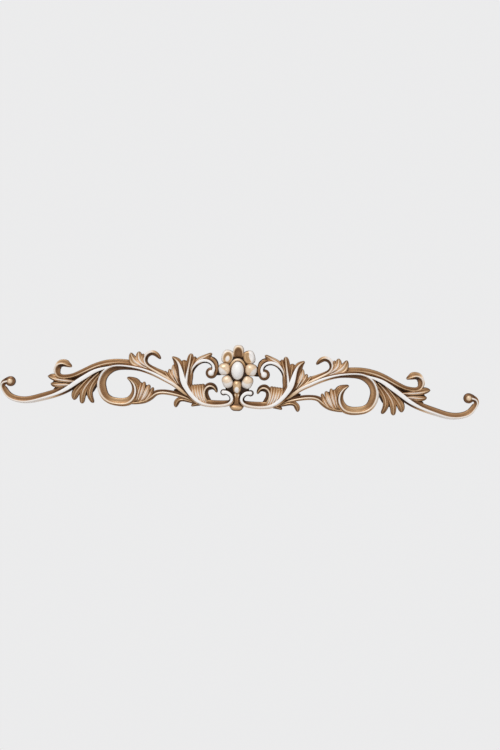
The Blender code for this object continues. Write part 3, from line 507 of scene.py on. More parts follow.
# Line, widths left and right, height, then paint of the ridge, the coves and the edges
LEAF_LOBES = [lobe(*row) for row in (
    ("crest", [(-92, 4), (-85, 15.5), (-72, 23.5), (-55, 32.4)], (4, 5.6, 5, 3), (5, 9, 9, 3.6),
     (8, 13, 13, 10), (0.3, 0.65, 0.75, 0.1), (0.1, 0.2, 0.3, -0.25)),
    ("side_prong", [(-99, -6), (-97, 2), (-94, 12), (-90, 25)], (3, 4, 5, 3), (4, 6, 8, 4.4),
     (8, 13.5, 13, 10.5), (0.4, 0.4, 0.25, -0.1)),
    ("fork_leaf", [(-109.5, -17), (-111, -6), (-112, 5), (-113.5, 17)], (1.5, 4.5, 9, 8),
     (1.5, 4, 8, 8), (9, 9.6, 10.4, 9.6), (0.3, 0.35, 0.25, 0), (-0.05, -0.05, 0, -0.1),
     (-0.4, -0.4)),
    ("fork_lobe_1", [(-122, -34), (-129.5, -20), (-134, -8), (-134.8, 6.5)], (3, 4.5, 5.4, 2),
     (3, 6, 6.5, 2.4), (8, 12, 12, 9), (0.6, 0.75, 0.8, 0.35), (0.4, 0.5, 0.5, 0)),
    ("fork_lobe_2", [(-125, -34), (-133, -23.5), (-140, -13), (-143.4, -3)], (3, 4.4, 5.6, 2.4),
     (3, 4.6, 5.6, 2.4), (8, 12, 11.5, 8), (0.5, 0.65, 0.6, 0.2), (0.15, 0.2, 0.1, -0.15)),
    ("fork_lobe_3", [(-128, -34), (-137.5, -26.5), (-146, -18), (-153, -7.6)], (3, 4, 4.4, 2),
     (3, 4, 5, 2.4), (8, 11, 10.5, 8), (0.4, 0.5, 0.4, 0)),
    ("trumpet_cheek", [(-206, -72), (-205.5, -60), (-207, -46), (-213, -34), (-230.5, -23.6)],
     (3, 4, 6, 8, 2), (3, 4, 7.5, 10, 2.4), (9, 10, 10, 10, 8), (0, 0.3, 0.1, -0.1, -0.5),
     (-0.3, -0.25, -0.2, -0.2)),
    ("trumpet_flute_1", [(-210, -72), (-206.5, -61), (-203.5, -48), (-200.6, -32.6)],
     (3, 3.4, 4, 3), (3, 3, 3.4, 3.4), (8, 11, 11.5, 9), (0.2, 0.6, 0.7, 0.1), (0, 0.2, 0.2, -0.1)),
    ("trumpet_flute_2", [(-206.5, -73), (-202, -62), (-197.6, -48), (-194.4, -31.2)],
     (3, 3.2, 3.6, 3.4), (3, 3.4, 4.4, 4.6), (8, 11.5, 12, 9.5), (0.3, 0.8, 0.8, 0.1),
     (0.2, 0.5, 0.45, -0.1)),
    ("trumpet_flute_3", [(-202, -74), (-195.5, -65.5), (-188.8, -53), (-183.6, -37)],
     (3, 4, 5.6, 4.6), (3, 3.8, 5, 4.4), (8, 11.5, 13, 10), (0.3, 0.85, 0.9, 0.1),
     (0.2, 0.6, 0.55, -0.1)),
    ("trumpet_flute_4", [(-196, -74), (-187, -67), (-181, -57), (-175.6, -42.2)], (3, 3.8, 4.4, 3),
     (3, 3.8, 4.4, 3.6), (8, 11, 11, 9), (0.2, 0.6, 0.6, -0.1), (0.1, 0.3, 0.25, -0.2)),
    ("under_spur", [(-76, -73), (-85, -74.2), (-94.6, -78.6)], (4, 4, 1.8), (4, 6, 3), (9, 9, 7),
     (0, 0.1, -0.2)),
    ("side_lobe_1", [(-340, -36), (-352, -36), (-367, -34.6), (-382, -33), (-398, -27.2)],
     (3, 3.5, 4.4, 4.6, 3), (3, 4, 7, 10.8, 7), (10, 11.5, 11.5, 11, 8),
     (0.5, 0.7, 0.8, 0.55, -0.2), (-0.3, 0.3, 0.25, -0.2, -0.4)),
    ("side_lobe_2", [(-343, -44), (-355, -44), (-368, -44.6), (-380, -44.8), (-391.4, -42.6)],
     (3, 4.5, 6, 6, 4), (3, 3.8, 4.6, 5.6, 4), (10, 11, 11, 10.5, 8), (0.5, 0.75, 0.8, 0.55, -0.3),
     (-0.3, 0.3, 0.25, -0.2, -0.4)),
    ("side_lobe_3", [(-350, -50), (-362, -52.5), (-373, -53.5), (-385, -54)], (4, 5, 4, 2),
     (4, 4.4, 5, 3), (8, 8.5, 8, 7), (-0.4, -0.4, -0.4), (-0.7, -0.7)),
    ("fan_lobe_1", [(-305, -22), (-318, -36), (-329, -49), (-337, -61), (-341.5, -75)],
     (3, 5, 6.6, 6.8, 4.6), (3, 6, 9, 9.8, 5.2), (10, 11.5, 11.5, 11, 8),
     (0.1, 0.35, 0.4, 0.3, -0.1), (-0.3, -0.2, -0.1, -0.2)),
    ("fan_lobe_2", [(-290, -16), (-303, -29), (-315, -44), (-322.5, -59), (-324, -82)],
     (3, 4, 6, 7.4, 4.8), (3, 4, 6, 7, 4.6), (10, 12.5, 12.5, 12, 8), (0.2, 0.55, 0.7, 0.5, 0),
     (-0.2, -0.1, -0.05, -0.2)),
    ("fan_lobe_3", [(-288, -20), (-299, -34), (-306, -49), (-307, -63), (-299.6, -79.6)],
     (3, 7, 5.6, 5, 3), (3, 4.5, 6.4, 7.2, 4.4), (10, 12, 12, 11.5, 8), (0, 0.3, 0.45, 0.2, -0.3),
     (-0.3, -0.2, -0.1, -0.3)),
    ("top_lobe_1", [(-190, -3), (-204, 3), (-216, 11.5), (-225.4, 28)], (4, 5, 12, 4.4),
     (4, 5, 7, 3), (9, 13, 12.5, 9), (0.7, 0.8, 0.75, 0.2), (0.55, 0.5, 0.1, -0.4)),
    ("top_lobe_2", [(-187, -1), (-199, 6.5), (-207, 16), (-208, 31.2)], (3, 5.6, 8, 4),
     (3, 5, 8.6, 5), (9, 13, 12.5, 9), (0.7, 0.8, 0.8, 0.3), (0.55, 0.45, 0.15, -0.25)),
    ("top_lobe_3", [(-188, 2), (-194, 9), (-198, 17), (-199, 27)], (3, 4, 4.8, 2.4), (3, 4, 4, 2),
     (10, 11, 10.5, 8), (0.3, 0.4, 0.2, -0.1)),
)]
# Low ground between the lobes: the same columns, and dark paint where none is given
DARK = ((-0.8, -0.8), (-0.9, -0.9), (-1, -1))
LEAF_GROUNDS = [lobe(*row[:5], *(row[5:] or DARK)) for row in (
    ("side_ground", [(-335, -40), (-362, -43), (-388, -41)], (5, 14, 7), (5, 12, 9), (6, 6, 5)),
    ("fan_ground", [(-281, -8), (-303, -34), (-320, -64)], (2, 13, 14), (2, 10, 16), (6, 6, 5)),
    ("link_ground", [(-322, -22), (-340, -28), (-358, -32)], (4, 5, 4), (3, 4, 4), (8, 8, 7)),
    ("flower_link", [(-48, -7.4), (-38, -7.4), (-26, -7.4)], (5, 5, 3), (5, 5, 3), (7.3, 7.3, 6.3)),
    ("arch_ground", [(-262, -4), (-280, -5), (-296, -12)], (5, 6, 5), (4, 5, 5), (9, 10, 9)),
    ("top_ground", [(-186, -4), (-203, 6), (-214, 18)], (4, 9, 9), (4, 8, 7), (8, 8, 6),
     (0.4, -0.5, -0.8), (0.4, -0.5, -0.9), (0.2, -0.6, -1)),
    ("trumpet_ground", [(-203, -73), (-197, -57), (-190, -38)], (8, 12, 16), (6, 11, 13), (7, 7, 6),
     (0.2, -0.4, -0.8), (0.2, -0.4, -0.9), (0, -0.5, -1)),
    ("fork_ground", [(-120, -37), (-131, -22), (-140, -7)], (5, 9, 6), (5, 9, 6), (8, 8, 6)),
    ("crest_ground", [(-97, 0), (-88, 12), (-78, 20)], (3, 8, 6), (2, 3, 4), (8, 8, 7)),
    ("arch_web", [(-106, -56), (-119, -50.5), (-132, -45.6)], (4, 5, 2.4), (4, 5, 2.4), (6, 6, 5)),
    ("inner_ground", [(-72, -67), (-80, -52), (-83, -35)], (8, 13, 12), (7, 11, 12), (7, 7, 6),
     (0.8, 0, -0.8), (0.8, 0, -0.9), (0.8, 0, -1)),
)]
carved += [carve(spec, leaf_section, LEAF_SEED + i)
           for i, spec in enumerate(LEAF_LOBES + LEAF_GROUNDS)]

# Pleated leaf inside the lower scroll. On the real piece it is cast with the scroll: even flutes
# open from a narrow root, which the stem's white paint runs into, to a gold, scalloped edge.
FLUTES = 5
WHITER_FLUTES = 3
PLEAT_SEED = 90
FLUTE_ROOTS = ((-81.5, -67.6), (-62.0, -73.6))
FLUTE_WAISTS = ((-90.0, -56.0), (-69.5, -56.0))
FLUTE_TIPS = ((-95.0, -33.5), (-72.0, -31.0))
FLUTE_HALVES = (2.5, 4.4, 5.6, 5.6)
FLUTE_RISES = (6.0, 11.6, 11.0, 8.5)
PLEAT_SLOPE = ((0.0, 0.26), (0.06, 0.42), (0.16, 0.52), (0.32, 0.56), (0.5, 0.58), (0.66, 0.62),
               (0.8, 0.7), (0.91, 0.85), (1.0, 0.97))
pleat_section = carving_section("pleat_section", PLEAT_SLOPE, crown_drop=0.03, edge_blend=0.16,
                                ridge_blend=0.6)
pleats = []
for i in range(FLUTES):
    f = i / (FLUTES - 1)
    path = [(a[0] + (b[0] - a[0]) * f, a[1] + (b[1] - a[1]) * f)
            for a, b in (FLUTE_ROOTS, FLUTE_WAISTS, FLUTE_TIPS)]
    pleats.append(lobe(f"flute_{i + 1}", path, FLUTE_HALVES, FLUTE_HALVES, FLUTE_RISES,
                       ridge=(1, 0.95, 0.75, -0.1), edge=(1, 0.6, 0, -0.6),
                       cove=(1, 0.75, 0.55, -0.1) if i < WHITER_FLUTES else (1, 0.6, 0.3, -0.3)))
carved += [carve(spec, pleat_section, PLEAT_SEED + i) for i, spec in enumerate(pleats)]

# Eyes of the curls. The real casting rounds each curl off into a low coved drum with a bead on it,
# in one with the band that ends there; its cove is dark and its bead is cream or pearl paint, a
# little brighter toward its crown as a painted highlight.
EYE_SEGMENTS = 44
# Centre, radius of the drum and of the bead, height, paint of the cove and of the bead
EYES = (((-476.4, -40.8), 10.6, 5.2, 14.0, -0.4, 0.3),
        ((-55.0, -8.2), 11.8, 5.8, 15.6, -0.45, 0.85),
        ((-28.0, -47.3), 6.7, 4.1, 13.4, -0.8, 0.85))
# Shares of the drum's radius and height with their paint, which adds to the cove's in the cove
DRUM_WALL = ((1.0, 0.4, -0.9), (0.97, 0.46, -0.7))
DRUM_COVE = ((0.9, 0.5, 0.0), (0.78, 0.52, 0.0), (0.66, 0.55, 0.0), (0.6, 0.62, 0.2))
BEAD_RINGS = 6
BEAD_SEAT = 0.78
BEAD_SWELL = 0.22
BEAD_TOP = 0.05
# Painted highlight: each ring of the bead nearer its crown is this much brighter.
BEAD_SHINE = 0.04


def painted(name, bm, paints):
    """Object from a mesh in the making, with the paint value of each vertex."""
    bmesh.ops.recalc_face_normals(bm, faces=bm.faces[:])
    mesh = bpy.data.meshes.new(name)
    bm.to_mesh(mesh)
    bm.free()
    mark(mesh, "paint", paints)
    mesh.materials.append(moulding_paint)
    return bpy.data.objects.new(name, mesh)


def stacked(name, rings, paints):
    """Closed solid through rings of points, one above another, with a paint for each point."""
    bm = bmesh.new()
    rows = [[bm.verts.new([c * MM for c in point]) for point in ring] for ring in rings]
    sides = len(rows[0])
    for a, b in zip(rows[:-1], rows[1:]):
        for j in range(sides):
            bm.faces.new((a[j], a[(j + 1) % sides], b[(j + 1) % sides], b[j]))
    bm.faces.new(list(reversed(rows[0])))
    bm.faces.new(rows[-1])
    return painted(name, bm, paints)


def eye(name, centre, outer, bead, height, cove_paint, bead_paint):
    """Coved drum with a raised bead."""
    levels = [(outer, -FOOT_DEPTH, -1.0)]
    levels += [(outer * r, height * h, p) for r, h, p in DRUM_WALL]
    levels += [(outer * r, height * h, cove_paint + p) for r, h, p in DRUM_COVE]
    for k in range(BEAD_RINGS):
        a = k * math.pi / (2 * BEAD_RINGS)
        levels.append((bead * math.cos(a) + BEAD_TOP,
                       height * (BEAD_SEAT + BEAD_SWELL * math.sin(a)),
                       bead_paint + BEAD_SHINE * k))
    turn = [2 * math.pi * k / EYE_SEGMENTS for k in range(EYE_SEGMENTS)]
    rings = [[(centre[0] + radius * math.cos(a), -up, centre[1] + radius * math.sin(a))
              for a in turn] for radius, up, _ in levels]
    return stacked(name, rings, [paint for _, _, paint in levels for _ in turn])


carved += [eye(f"eye_{i}", *spec) for i, spec in enumerate(EYES)]


# Both arms. The real arms are each other's mirror image and one with the flower between them:
# the bands, leaves and eyes of one are joined to a closed solid here, which is then mirrored.
def united(base, others, operation='UNION'):
    """One closed solid from the base and the others, which are used up."""
    holder = bpy.data.collections.new("joining")
    bpy.context.scene.collection.children.link(holder)
    for other in others:
        holder.objects.link(other)
    step = base.modifiers.new("join", 'BOOLEAN')
    step.operation = operation
    step.solver = 'MANIFOLD'
    step.operand_type = 'COLLECTION'
    step.collection = holder
    name = base.name
    mesh = plain_mesh(base)
    for other in others:
        bpy.data.objects.remove(other, do_unlink=True)
    bpy.data.collections.remove(holder)
    return bpy.data.objects.new(name, mesh)


left_half = united(carved[0], carved[1:])
right_mesh = left_half.data.copy()
right_mesh.transform(Matrix.Scale(-1.0, 4, Vector((1.0, 0.0, 0.0))))
right_mesh.flip_normals()
right_half = bpy.data.objects.new("right_half", right_mesh)
for section in (band_section, leaf_section, pleat_section):
    bpy.data.objects.remove(section, do_unlink=True)

# Flower in the middle: the cast has one tall oval boss, a raised ring and eight cushioned petals
# about it. Their outer folds are brushed pearl white, the rest gold, and the clefts are umber; the
# top cup's bowl is darkened as painted shade.
PETAL_SEGMENTS = 48
PETAL_RINGS = 20
PETAL_SQUARENESS = 2.6
PETAL_FULLNESS = 0.5
PETAL_SINK = 1.0
EDGE_BLEND = 0.3
FOOT_BLEND = 0.2
# A fold is a groove with a step beyond it; a bowl has a flat floor; a spot swells a little
FOLD_BLEND = 0.3
FOLD_GROOVE = 0.035
GROOVE_WIDTH = 0.12
FOLD_STEP = 0.05
BOWL_FLOOR = 0.45
BOWL_BLEND = 0.25
SPOT_BLEND = 0.35
SPOT_SWELL = 0.05
SWELL_BLEND = 0.5


def petal(name, centre, half, depth, turn, side=1, fold=None, bowl=None, spot=None, body=0.2,
          rim=0.9, base=-0.9, foot_line=0.3, squareness=PETAL_SQUARENESS):
    """Cushioned petal: pearl beyond its fold line or on its spot, and hollowed in its bowl."""
    bm = bmesh.new()
    bmesh.ops.create_uvsphere(bm, u_segments=PETAL_SEGMENTS, v_segments=PETAL_RINGS, radius=1.0)
    a = math.radians(turn)
    c, s = math.cos(a * side), math.sin(a * side)
    paints = []
    for vert in bm.verts:
        u, w, up = vert.co
        reach = math.hypot(u, w)
        if reach > 1e-6:
            corner = abs(u / reach) ** squareness + abs(w / reach) ** squareness
            u, w = u * corner ** (-1 / squareness), w * corner ** (-1 / squareness)
        crown = up ** PETAL_FULLNESS if up > 0 else up
        paint = body
        sink = 0.0
        if fold:
            (nu, nw), offset, curve = fold
            across = u * nu + w * nw - offset - curve * (u * nw - w * nu) ** 2
            paint += (rim - body) * smooth(across / FOLD_BLEND + 0.5)
            sink += FOLD_GROOVE * math.exp(-(across / GROOVE_WIDTH) ** 2)
            sink += FOLD_STEP * smooth(across / FOLD_BLEND)
        if bowl:
            (bu, bw), (hu, hw), drop, inside = bowl
            r = math.hypot((u - bu) / hu, (w - bw) / hw)
            sink += drop * (1 - smooth((r - BOWL_FLOOR) / (1 - BOWL_FLOOR)))
            paint += (inside - paint) * smooth((1.0 - r) / BOWL_BLEND)
        if spot:
            (su, sw), (hu, hw), tone = spot
            r = math.hypot((u - su) / hu, (w - sw) / hw)
            paint += (tone - paint) * smooth((1.0 - r) / SPOT_BLEND)
            sink -= SPOT_SWELL * smooth((1.0 - r) / SWELL_BLEND)
        if up < foot_line:
            paint += (base - paint) * smooth((foot_line - up) / FOOT_BLEND)
        height = (depth + PETAL_SINK) * crown - PETAL_SINK - depth * sink * smooth(up / EDGE_BLEND)
        x, z = half[0] * u * side, half[1] * w
        vert.co = ((centre[0] * side + x * c - z * s) * MM, -height * MM,
                   (centre[1] + x * s + z * c) * MM)
        paints.append(paint)
    return painted(name, bm, paints)


UPPER_CUP = ((22.4, 26.4), (12.4, 14.8), 17.0, 16.0)
flower = []
for side in (-1, 1):
    flower += [
        petal("side_petal", (27.4, 1.0), (13.3, 12.9), 20.0, -8.0, side, body=0.44, foot_line=0.4,
              fold=((0.7, -0.7), 0.16, 0.2) if side < 0 else ((0.85, -0.53), 0.3, 0.2)),
        petal("lower_petal", (20.4, -25.0), (11.4, 13.6), 19.0, -22.0, side, body=0.54,
              fold=((0.2, -0.98), 0.26, -0.5)),
    ]
flower += [
    petal("upper_cup", *UPPER_CUP, -1, body=0.8, bowl=((-0.1, -0.1), (0.84, 0.94), 0.3, -0.05),
          spot=((-0.12, -0.25), (0.42, 0.52), 0.95)),
    petal("upper_cup", *UPPER_CUP, 1, body=0.05, fold=((1.0, -0.1), 0.02, 0.1),
          bowl=((-0.1, 0.0), (0.75, 0.85), 0.22, 0.05), spot=((0.5, 0.0), (0.55, 0.9), 0.95)),
    # The top cup's bowl is painted dark inside: painted shade, as its hollow faces down, away from
    # the light above.
    petal("top_cup", (0.0, 37.0), (11.4, 14.8), 16.0, 0.0, body=0.7,
          bowl=((0.0, -0.3), (0.9, 1.12), 0.42, -0.4)),
    petal("bottom_petal", (0.0, -34.2), (9.2, 14.8), 19.0, 0.0,
          spot=((0.0, -0.5), (0.62, 0.52), 0.95)),
    petal("core", (0.0, 0.0), (24.0, 28.0), 8.0, 0.0, body=-0.9, base=-1),
    petal("hollow", (0.0, -38.0), (25.0, 13.0), 5.0, 0.0, body=-1.2, base=-1.2),
    petal("post_ground", (0.0, -58.0), (13.0, 26.0), 5.0, 0.0, body=-0.8, base=-1),
    petal("boss", (0.0, -1.5), (13.6, 19.6), 28.0, 0.0, body=1.0, foot_line=0.32, squareness=2.0),
]

# Ring round the boss: a raised oval bead of the same cast, brown gold. It is painted brighter along
# its top, where the light from above falls, as a painted highlight, and its faces turned away carry
# painted shade.
RING_CENTRE = (0.0, 0.4)
RING_HALF = (15.4, 20.8)
RING_TUBE = 2.6
RING_DEPTH = 12.0
RING_SEGMENTS = 72
RING_SIDES = 14
# Painted highlight: the ring's paint is lightest at this angle, at its top; RING_SHADE is painted
# shade on the faces turned away.
RING_LIT_AT = math.radians(97)
RING_TONE = -0.5
RING_FLANK = -0.1
RING_SHADE = -0.8


def boss_ring():
    """Raised ring round the boss, with a painted highlight where it faces up and painted shade
    where it faces away.
    """
    bm = bmesh.new()
    rows, paints = [], []
    for i in range(RING_SEGMENTS):
        a = 2 * math.pi * i / RING_SEGMENTS
        row = []
        for j in range(RING_SIDES):
            b = 2 * math.pi * j / RING_SIDES
            out = RING_TUBE * math.cos(b)
            row.append(bm.verts.new(((RING_HALF[0] + out) * math.cos(a) * MM,
                                     -(RING_DEPTH + RING_TUBE * math.sin(b)) * MM,
                                     (RING_CENTRE[1] + (RING_HALF[1] + out) * math.sin(a)) * MM)))
            # Painted light and shade: brighter toward the top of the ring, darker where the tube
            # faces away.
            faces_front = math.sin(b) > RING_FLANK
            paints.append(math.cos(a - RING_LIT_AT) + RING_TONE if faces_front else RING_SHADE)
        rows.append(row)
    for a, b in zip(rows, rows[1:] + rows[:1]):
        for j in range(RING_SIDES):
            bm.faces.new((a[j], b[j], b[(j + 1) % RING_SIDES], a[(j + 1) % RING_SIDES]))
    return painted("ring", bm, paints)


flower.append(boss_ring())

# Post and flared foot under the flower: part of the same cast, a rounded brown block with painted
# shade on its sides and two painted cream highlights at its crest; its foot is lighter gold at its
# fullest and darker where it turns under.
POST_SIDES = 25
# Level, half width, depth and paint
POST_LEVELS = ((-45.0, 5.6, 8.6, -0.5), (-48.5, 6.5, 9.6, -0.1), (-50.0, 6.5, 10.1, -0.05),
               (-52.0, 6.3, 10.6, -0.1), (-54.5, 5.4, 11.0, -0.25), (-58.0, 5.2, 11.0, -0.3),
               (-68.0, 5.5, 11.0, -0.35), (-71.0, 7.4, 10.6, -0.45), (-72.6, 11.2, 9.4, -0.5),
               (-73.8, 13.8, 9.6, -0.4), (-75.2, 14.8, 10.6, -0.15), (-76.8, 14.6, 11.6, 0.1),
               (-78.8, 13.4, 12.0, 0.2), (-80.8, 12.0, 11.6, 0.1), (-82.6, 10.6, 10.8, -0.1),
               (-84.0, 8.6, 9.4, -0.4), (-84.8, 7.0, 7.8, -0.7), (-85.2, 5.6, 6.0, -0.8))
POST_CORNER = 0.75
POST_FRONT = 0.7
POST_SIDE_DEPTH = 0.3
POST_FRONT_DEPTH = 0.7
# Painted shade: the post's sides are darker as they turn away from the front.
POST_SHADE = 0.5
POST_BACK = -1.0
# Painted highlights: two cream glints at the post's crest, one on each side of its middle.
GLINT_LEVEL = -52.5
GLINT_HEIGHT = 3.6
GLINT_OFFSET = 0.5
GLINT_WIDTH = 0.25
GLINT_TONE = 1.1


def post():
    """Post and foot, a rounded block whose width and depth follow its levels."""
    rings, paints = [], []
    for z, half, depth, paint in POST_LEVELS:
        ring = [(-half, FOOT_DEPTH, z)]
        for k in range(POST_SIDES):
            a = math.pi * (1 - k / (POST_SIDES - 1))
            aside, ahead = abs(math.cos(a)), math.sin(a) ** POST_FRONT
            ring.append((half * math.copysign(aside ** POST_CORNER, math.cos(a)),
                         -POST_SIDE_DEPTH * depth - POST_FRONT_DEPTH * depth * ahead, z))
            # Painted highlights at the crest (glint) and painted shade on the sides that turn away
            # (POST_SHADE).
            glint = GLINT_TONE * math.exp(-((z - GLINT_LEVEL) / GLINT_HEIGHT) ** 2
                                          - ((aside - GLINT_OFFSET) / GLINT_WIDTH) ** 2)
            paints.append(paint - POST_SHADE * aside ** 3 + glint)
        ring.append((half, FOOT_DEPTH, z))
        rings.append(ring)
        paints = paints[:-POST_SIDES] + [POST_BACK] + paints[-POST_SIDES:] + [POST_BACK]
    return stacked("post", rings, paints)


flower.append(post())

# The cast. Bands, leaves and flower are one piece of rigid polyurethane, cast in an open mould,
# so its back is flat; the real one is fixed to its panel by that back, with adhesive and pins.
BACK_CELLS = (150, 24)
BACK_CENTRE = (0.0, 0.0, -0.017)
BACK_SIZE = (1.04, 0.16)
BACK_DEPTH = 0.05
BACK_PAINT = -0.2
CREASE = math.radians(40.0)
CAST_BOX = ((-497.75, -28.0, -86.19), (497.75, 0.0, 51.68))

whole = united(left_half, [right_half] + flower)
bm = bmesh.new()
bmesh.ops.create_grid(bm, x_segments=BACK_CELLS[0], y_segments=BACK_CELLS[1], size=0.5,
                      matrix=Matrix.Translation(BACK_CENTRE) @ Matrix.Rotation(math.pi / 2, 4, 'X')
                      @ Matrix.Diagonal((*BACK_SIZE, 1.0, 1.0)))
skin = bmesh.ops.extrude_face_region(bm, geom=bm.faces[:])
farther = [v for v in skin["geom"] if isinstance(v, bmesh.types.BMVert)]
bmesh.ops.translate(bm, verts=farther, vec=(0.0, BACK_DEPTH, 0.0))
bmesh.ops.triangulate(bm, faces=bm.faces[:])
behind = painted("behind", bm, [BACK_PAINT] * len(bm.verts))
moulding = united(whole, [behind], 'DIFFERENCE')
moulding.name = moulding.data.name = "painted_moulding"
mesh = moulding.data
mesh.materials.clear()
mesh.materials.append(moulding_paint)
mesh.polygons.foreach_set("use_smooth", [True] * len(mesh.polygons))
mesh.set_sharp_from_angle(angle=CREASE)
count = len(mesh.vertices)
co = np.zeros(count * 3)
mesh.vertices.foreach_get("co", co)
co = np.clip(co.reshape(-1, 3), *np.array(CAST_BOX) * MM)
mesh.vertices.foreach_set("co", co.ravel())

# Paint along the crossings. A painter's glaze runs into the joints between the carved forms: the
# points made where two bodies cross have no paint yet, and take the darkest about them.
CROSSING_ROUNDS = 6
paint = np.zeros(count)
mesh.attributes["paint"].data.foreach_get("value", paint)
pairs = np.zeros(len(mesh.edges) * 2, int)
mesh.edges.foreach_get("vertices", pairs)
pairs = pairs.reshape(-1, 2)
pairs = np.concatenate((pairs, pairs[:, ::-1]))
bare = paint == 0.0
for _ in range(CROSSING_ROUNDS):
    known = pairs[bare[pairs[:, 0]] & ~bare[pairs[:, 1]]]
    lowest = np.full(count, np.inf)
    np.minimum.at(lowest, known[:, 0], paint[known[:, 1]])
    found = np.isfinite(lowest)
    paint[found] = lowest[found]
    bare[found] = False
mesh.attributes["paint"].data.foreach_set("value", paint)

# Recesses. On the real piece umber glaze is wiped over the gold and stays in the hollows: each
# point is marked with how far it lies below its neighbourhood, from a map of the front's depths.
# Map cells and reaches in mm, ray in m
MAP_STEP = 1.0
MAP_CORNER = (-500.0, -88.0)
MAP_SIZE = (1000, 142)
RAY_START = -0.1
RAY_LENGTH = 0.2
LEAST_DEPTH = 0.05
LEAST_SHARE = 0.05
RECESS_REACH = (3, 7)
RECESS_SLOPE = 0.5
RECESS_SLACK = 2.0
PROUDEST = -0.12
DEEPEST = 1.0
tree = BVHTree.FromPolygons([v.co for v in mesh.vertices], [p.vertices for p in mesh.polygons])
columns, rows = (int(size / MAP_STEP) for size in MAP_SIZE)
depths = np.zeros((rows, columns))
for i in range(rows):
    z = (MAP_CORNER[1] + (i + 0.5) * MAP_STEP) * MM
    for k in range(columns):
        x = (MAP_CORNER[0] + (k + 0.5) * MAP_STEP) * MM
        hit = tree.ray_cast(Vector((x, RAY_START, z)), Vector((0.0, 1.0, 0.0)), RAY_LENGTH)[0]
        if hit is not None:
            depths[i, k] = -hit.y / MM
held = (depths > LEAST_DEPTH).astype(float)


def boxed(field, reach):
    """Mean of a map over a square window, run twice for a soft edge."""
    wide = 2 * reach + 1
    for axis in (0, 1, 0, 1):
        padded = np.pad(field, [(reach + 1, reach) if a == axis else (0, 0) for a in (0, 1)])
        sums = np.cumsum(padded, axis=axis)
        last = sums.shape[axis]
        field = (np.take(sums, range(wide, last), axis)
                 - np.take(sums, range(last - wide), axis)) / wide
    return field


x_at, z_at = (np.clip(((co[:, axis] / MM - corner) / MAP_STEP).astype(int), 0, cells - 1)
              for axis, corner, cells in ((0, MAP_CORNER[0], columns), (2, MAP_CORNER[1], rows)))
recess = np.zeros(count)
for reach in RECESS_REACH:
    near = boxed(depths, reach) / np.maximum(boxed(held, reach), LEAST_SHARE)
    below = (near[z_at, x_at] + co[:, 1] / MM) / (RECESS_SLOPE * reach + RECESS_SLACK)
    recess += np.clip(below, PROUDEST, DEEPEST) / len(RECESS_REACH)
mark(mesh, "recess", recess)

# Finish: umber glaze in the hollows, bronze-gold paint, cream gold on the ridges, partly rubbed
# gilding and partly painted highlight, and pearl white brushed over the broad crowns, all with the
# streaks that a dry brush leaves.
PAINT_STOPS = ((-1.0, (0.045, 0.020, 0.009)), (-0.6, (0.170, 0.078, 0.031)),
               (-0.25, (0.33, 0.172, 0.075)), (0.02, (0.52, 0.318, 0.158)),
               (0.3, (0.71, 0.490, 0.285)), (0.55, (0.90, 0.695, 0.495)),
               (0.8, (0.89, 0.81, 0.74)), (1.05, (0.95, 0.94, 0.935)))
# Scale, detail and roughness of the patches, the streaks and the specks
BRUSH_NOISES = ((55.0, 4.0, 0.6), (260.0, 5.0, 0.65), (900.0, 3.0, 0.6))
PATCH_CONTRAST = 1.1
PATCH_STRENGTH = 0.22
SPECK_STRENGTH = 0.6
GLAZE_SHED = -0.85
STREAK = 0.16
GLAZE = 0.5
METAL_TONES = (0.3, 0.75)
METAL = (0.5, 0.0)
GRAIN_SPAN = (-0.4, 0.4)
GLOSS = (0.32, 0.46)
BUMP_STRENGTH = 0.35
BUMP_HEIGHT = 0.0004


def brushed_paint():
    """Group: paint tone after brush streaks, glaze in the recesses and specks."""
    tree = bpy.data.node_groups.new("brushed_paint", 'ShaderNodeTree')
    for in_out, labels in (('INPUT', ("Paint", "Recess", "Streak", "Glaze")),
                           ('OUTPUT', ("Tone", "Grain"))):
        for label in labels:
            tree.interface.new_socket(label, in_out=in_out, socket_type='NodeSocketFloat')
    given = tree.nodes.new('NodeGroupInput').outputs
    out = tree.nodes.new('NodeGroupOutput').inputs
    place = tree.nodes.new('ShaderNodeTexCoord').outputs["Object"]
    noises = []
    for scale, detail, rough in BRUSH_NOISES:
        noise = add_node(tree, 'ShaderNodeTexNoise', Vector=place, Scale=scale, Detail=detail,
                         Roughness=rough)
        noises.append(reckon(tree, 'SUBTRACT', noise.outputs["Fac"], 0.5))
    patches = reckon(tree, 'MULTIPLY', noises[0], PATCH_CONTRAST)
    patches = reckon(tree, 'MULTIPLY', patches, PATCH_STRENGTH)
    streaks = reckon(tree, 'MULTIPLY', noises[1], given["Streak"])
    specks = reckon(tree, 'MULTIPLY', noises[2], SPECK_STRENGTH)
    white = reckon(tree, 'MAXIMUM', given["Paint"], 0.0)
    hold = reckon(tree, 'MAXIMUM', reckon(tree, 'MULTIPLY_ADD', white, GLAZE_SHED, 1.0), 0.0)
    glaze = reckon(tree, 'MULTIPLY', given["Recess"], given["Glaze"])
    glaze = reckon(tree, 'MULTIPLY', glaze, hold)
    tone = reckon(tree, 'ADD', reckon(tree, 'ADD', given["Paint"], patches), streaks)
    tree.links.new(reckon(tree, 'SUBTRACT', tone, glaze), out["Tone"])
    tree.links.new(reckon(tree, 'ADD', noises[1], specks), out["Grain"])
    return tree


def ranged(tree, value, span, result=(0.0, 1.0)):
    """A socket's values from one span, brought to another."""
    ends = dict(zip(("From Min", "From Max", "To Min", "To Max"), (*span, *result)))
    return add_node(tree, 'ShaderNodeMapRange', Value=value, **ends).outputs["Result"]


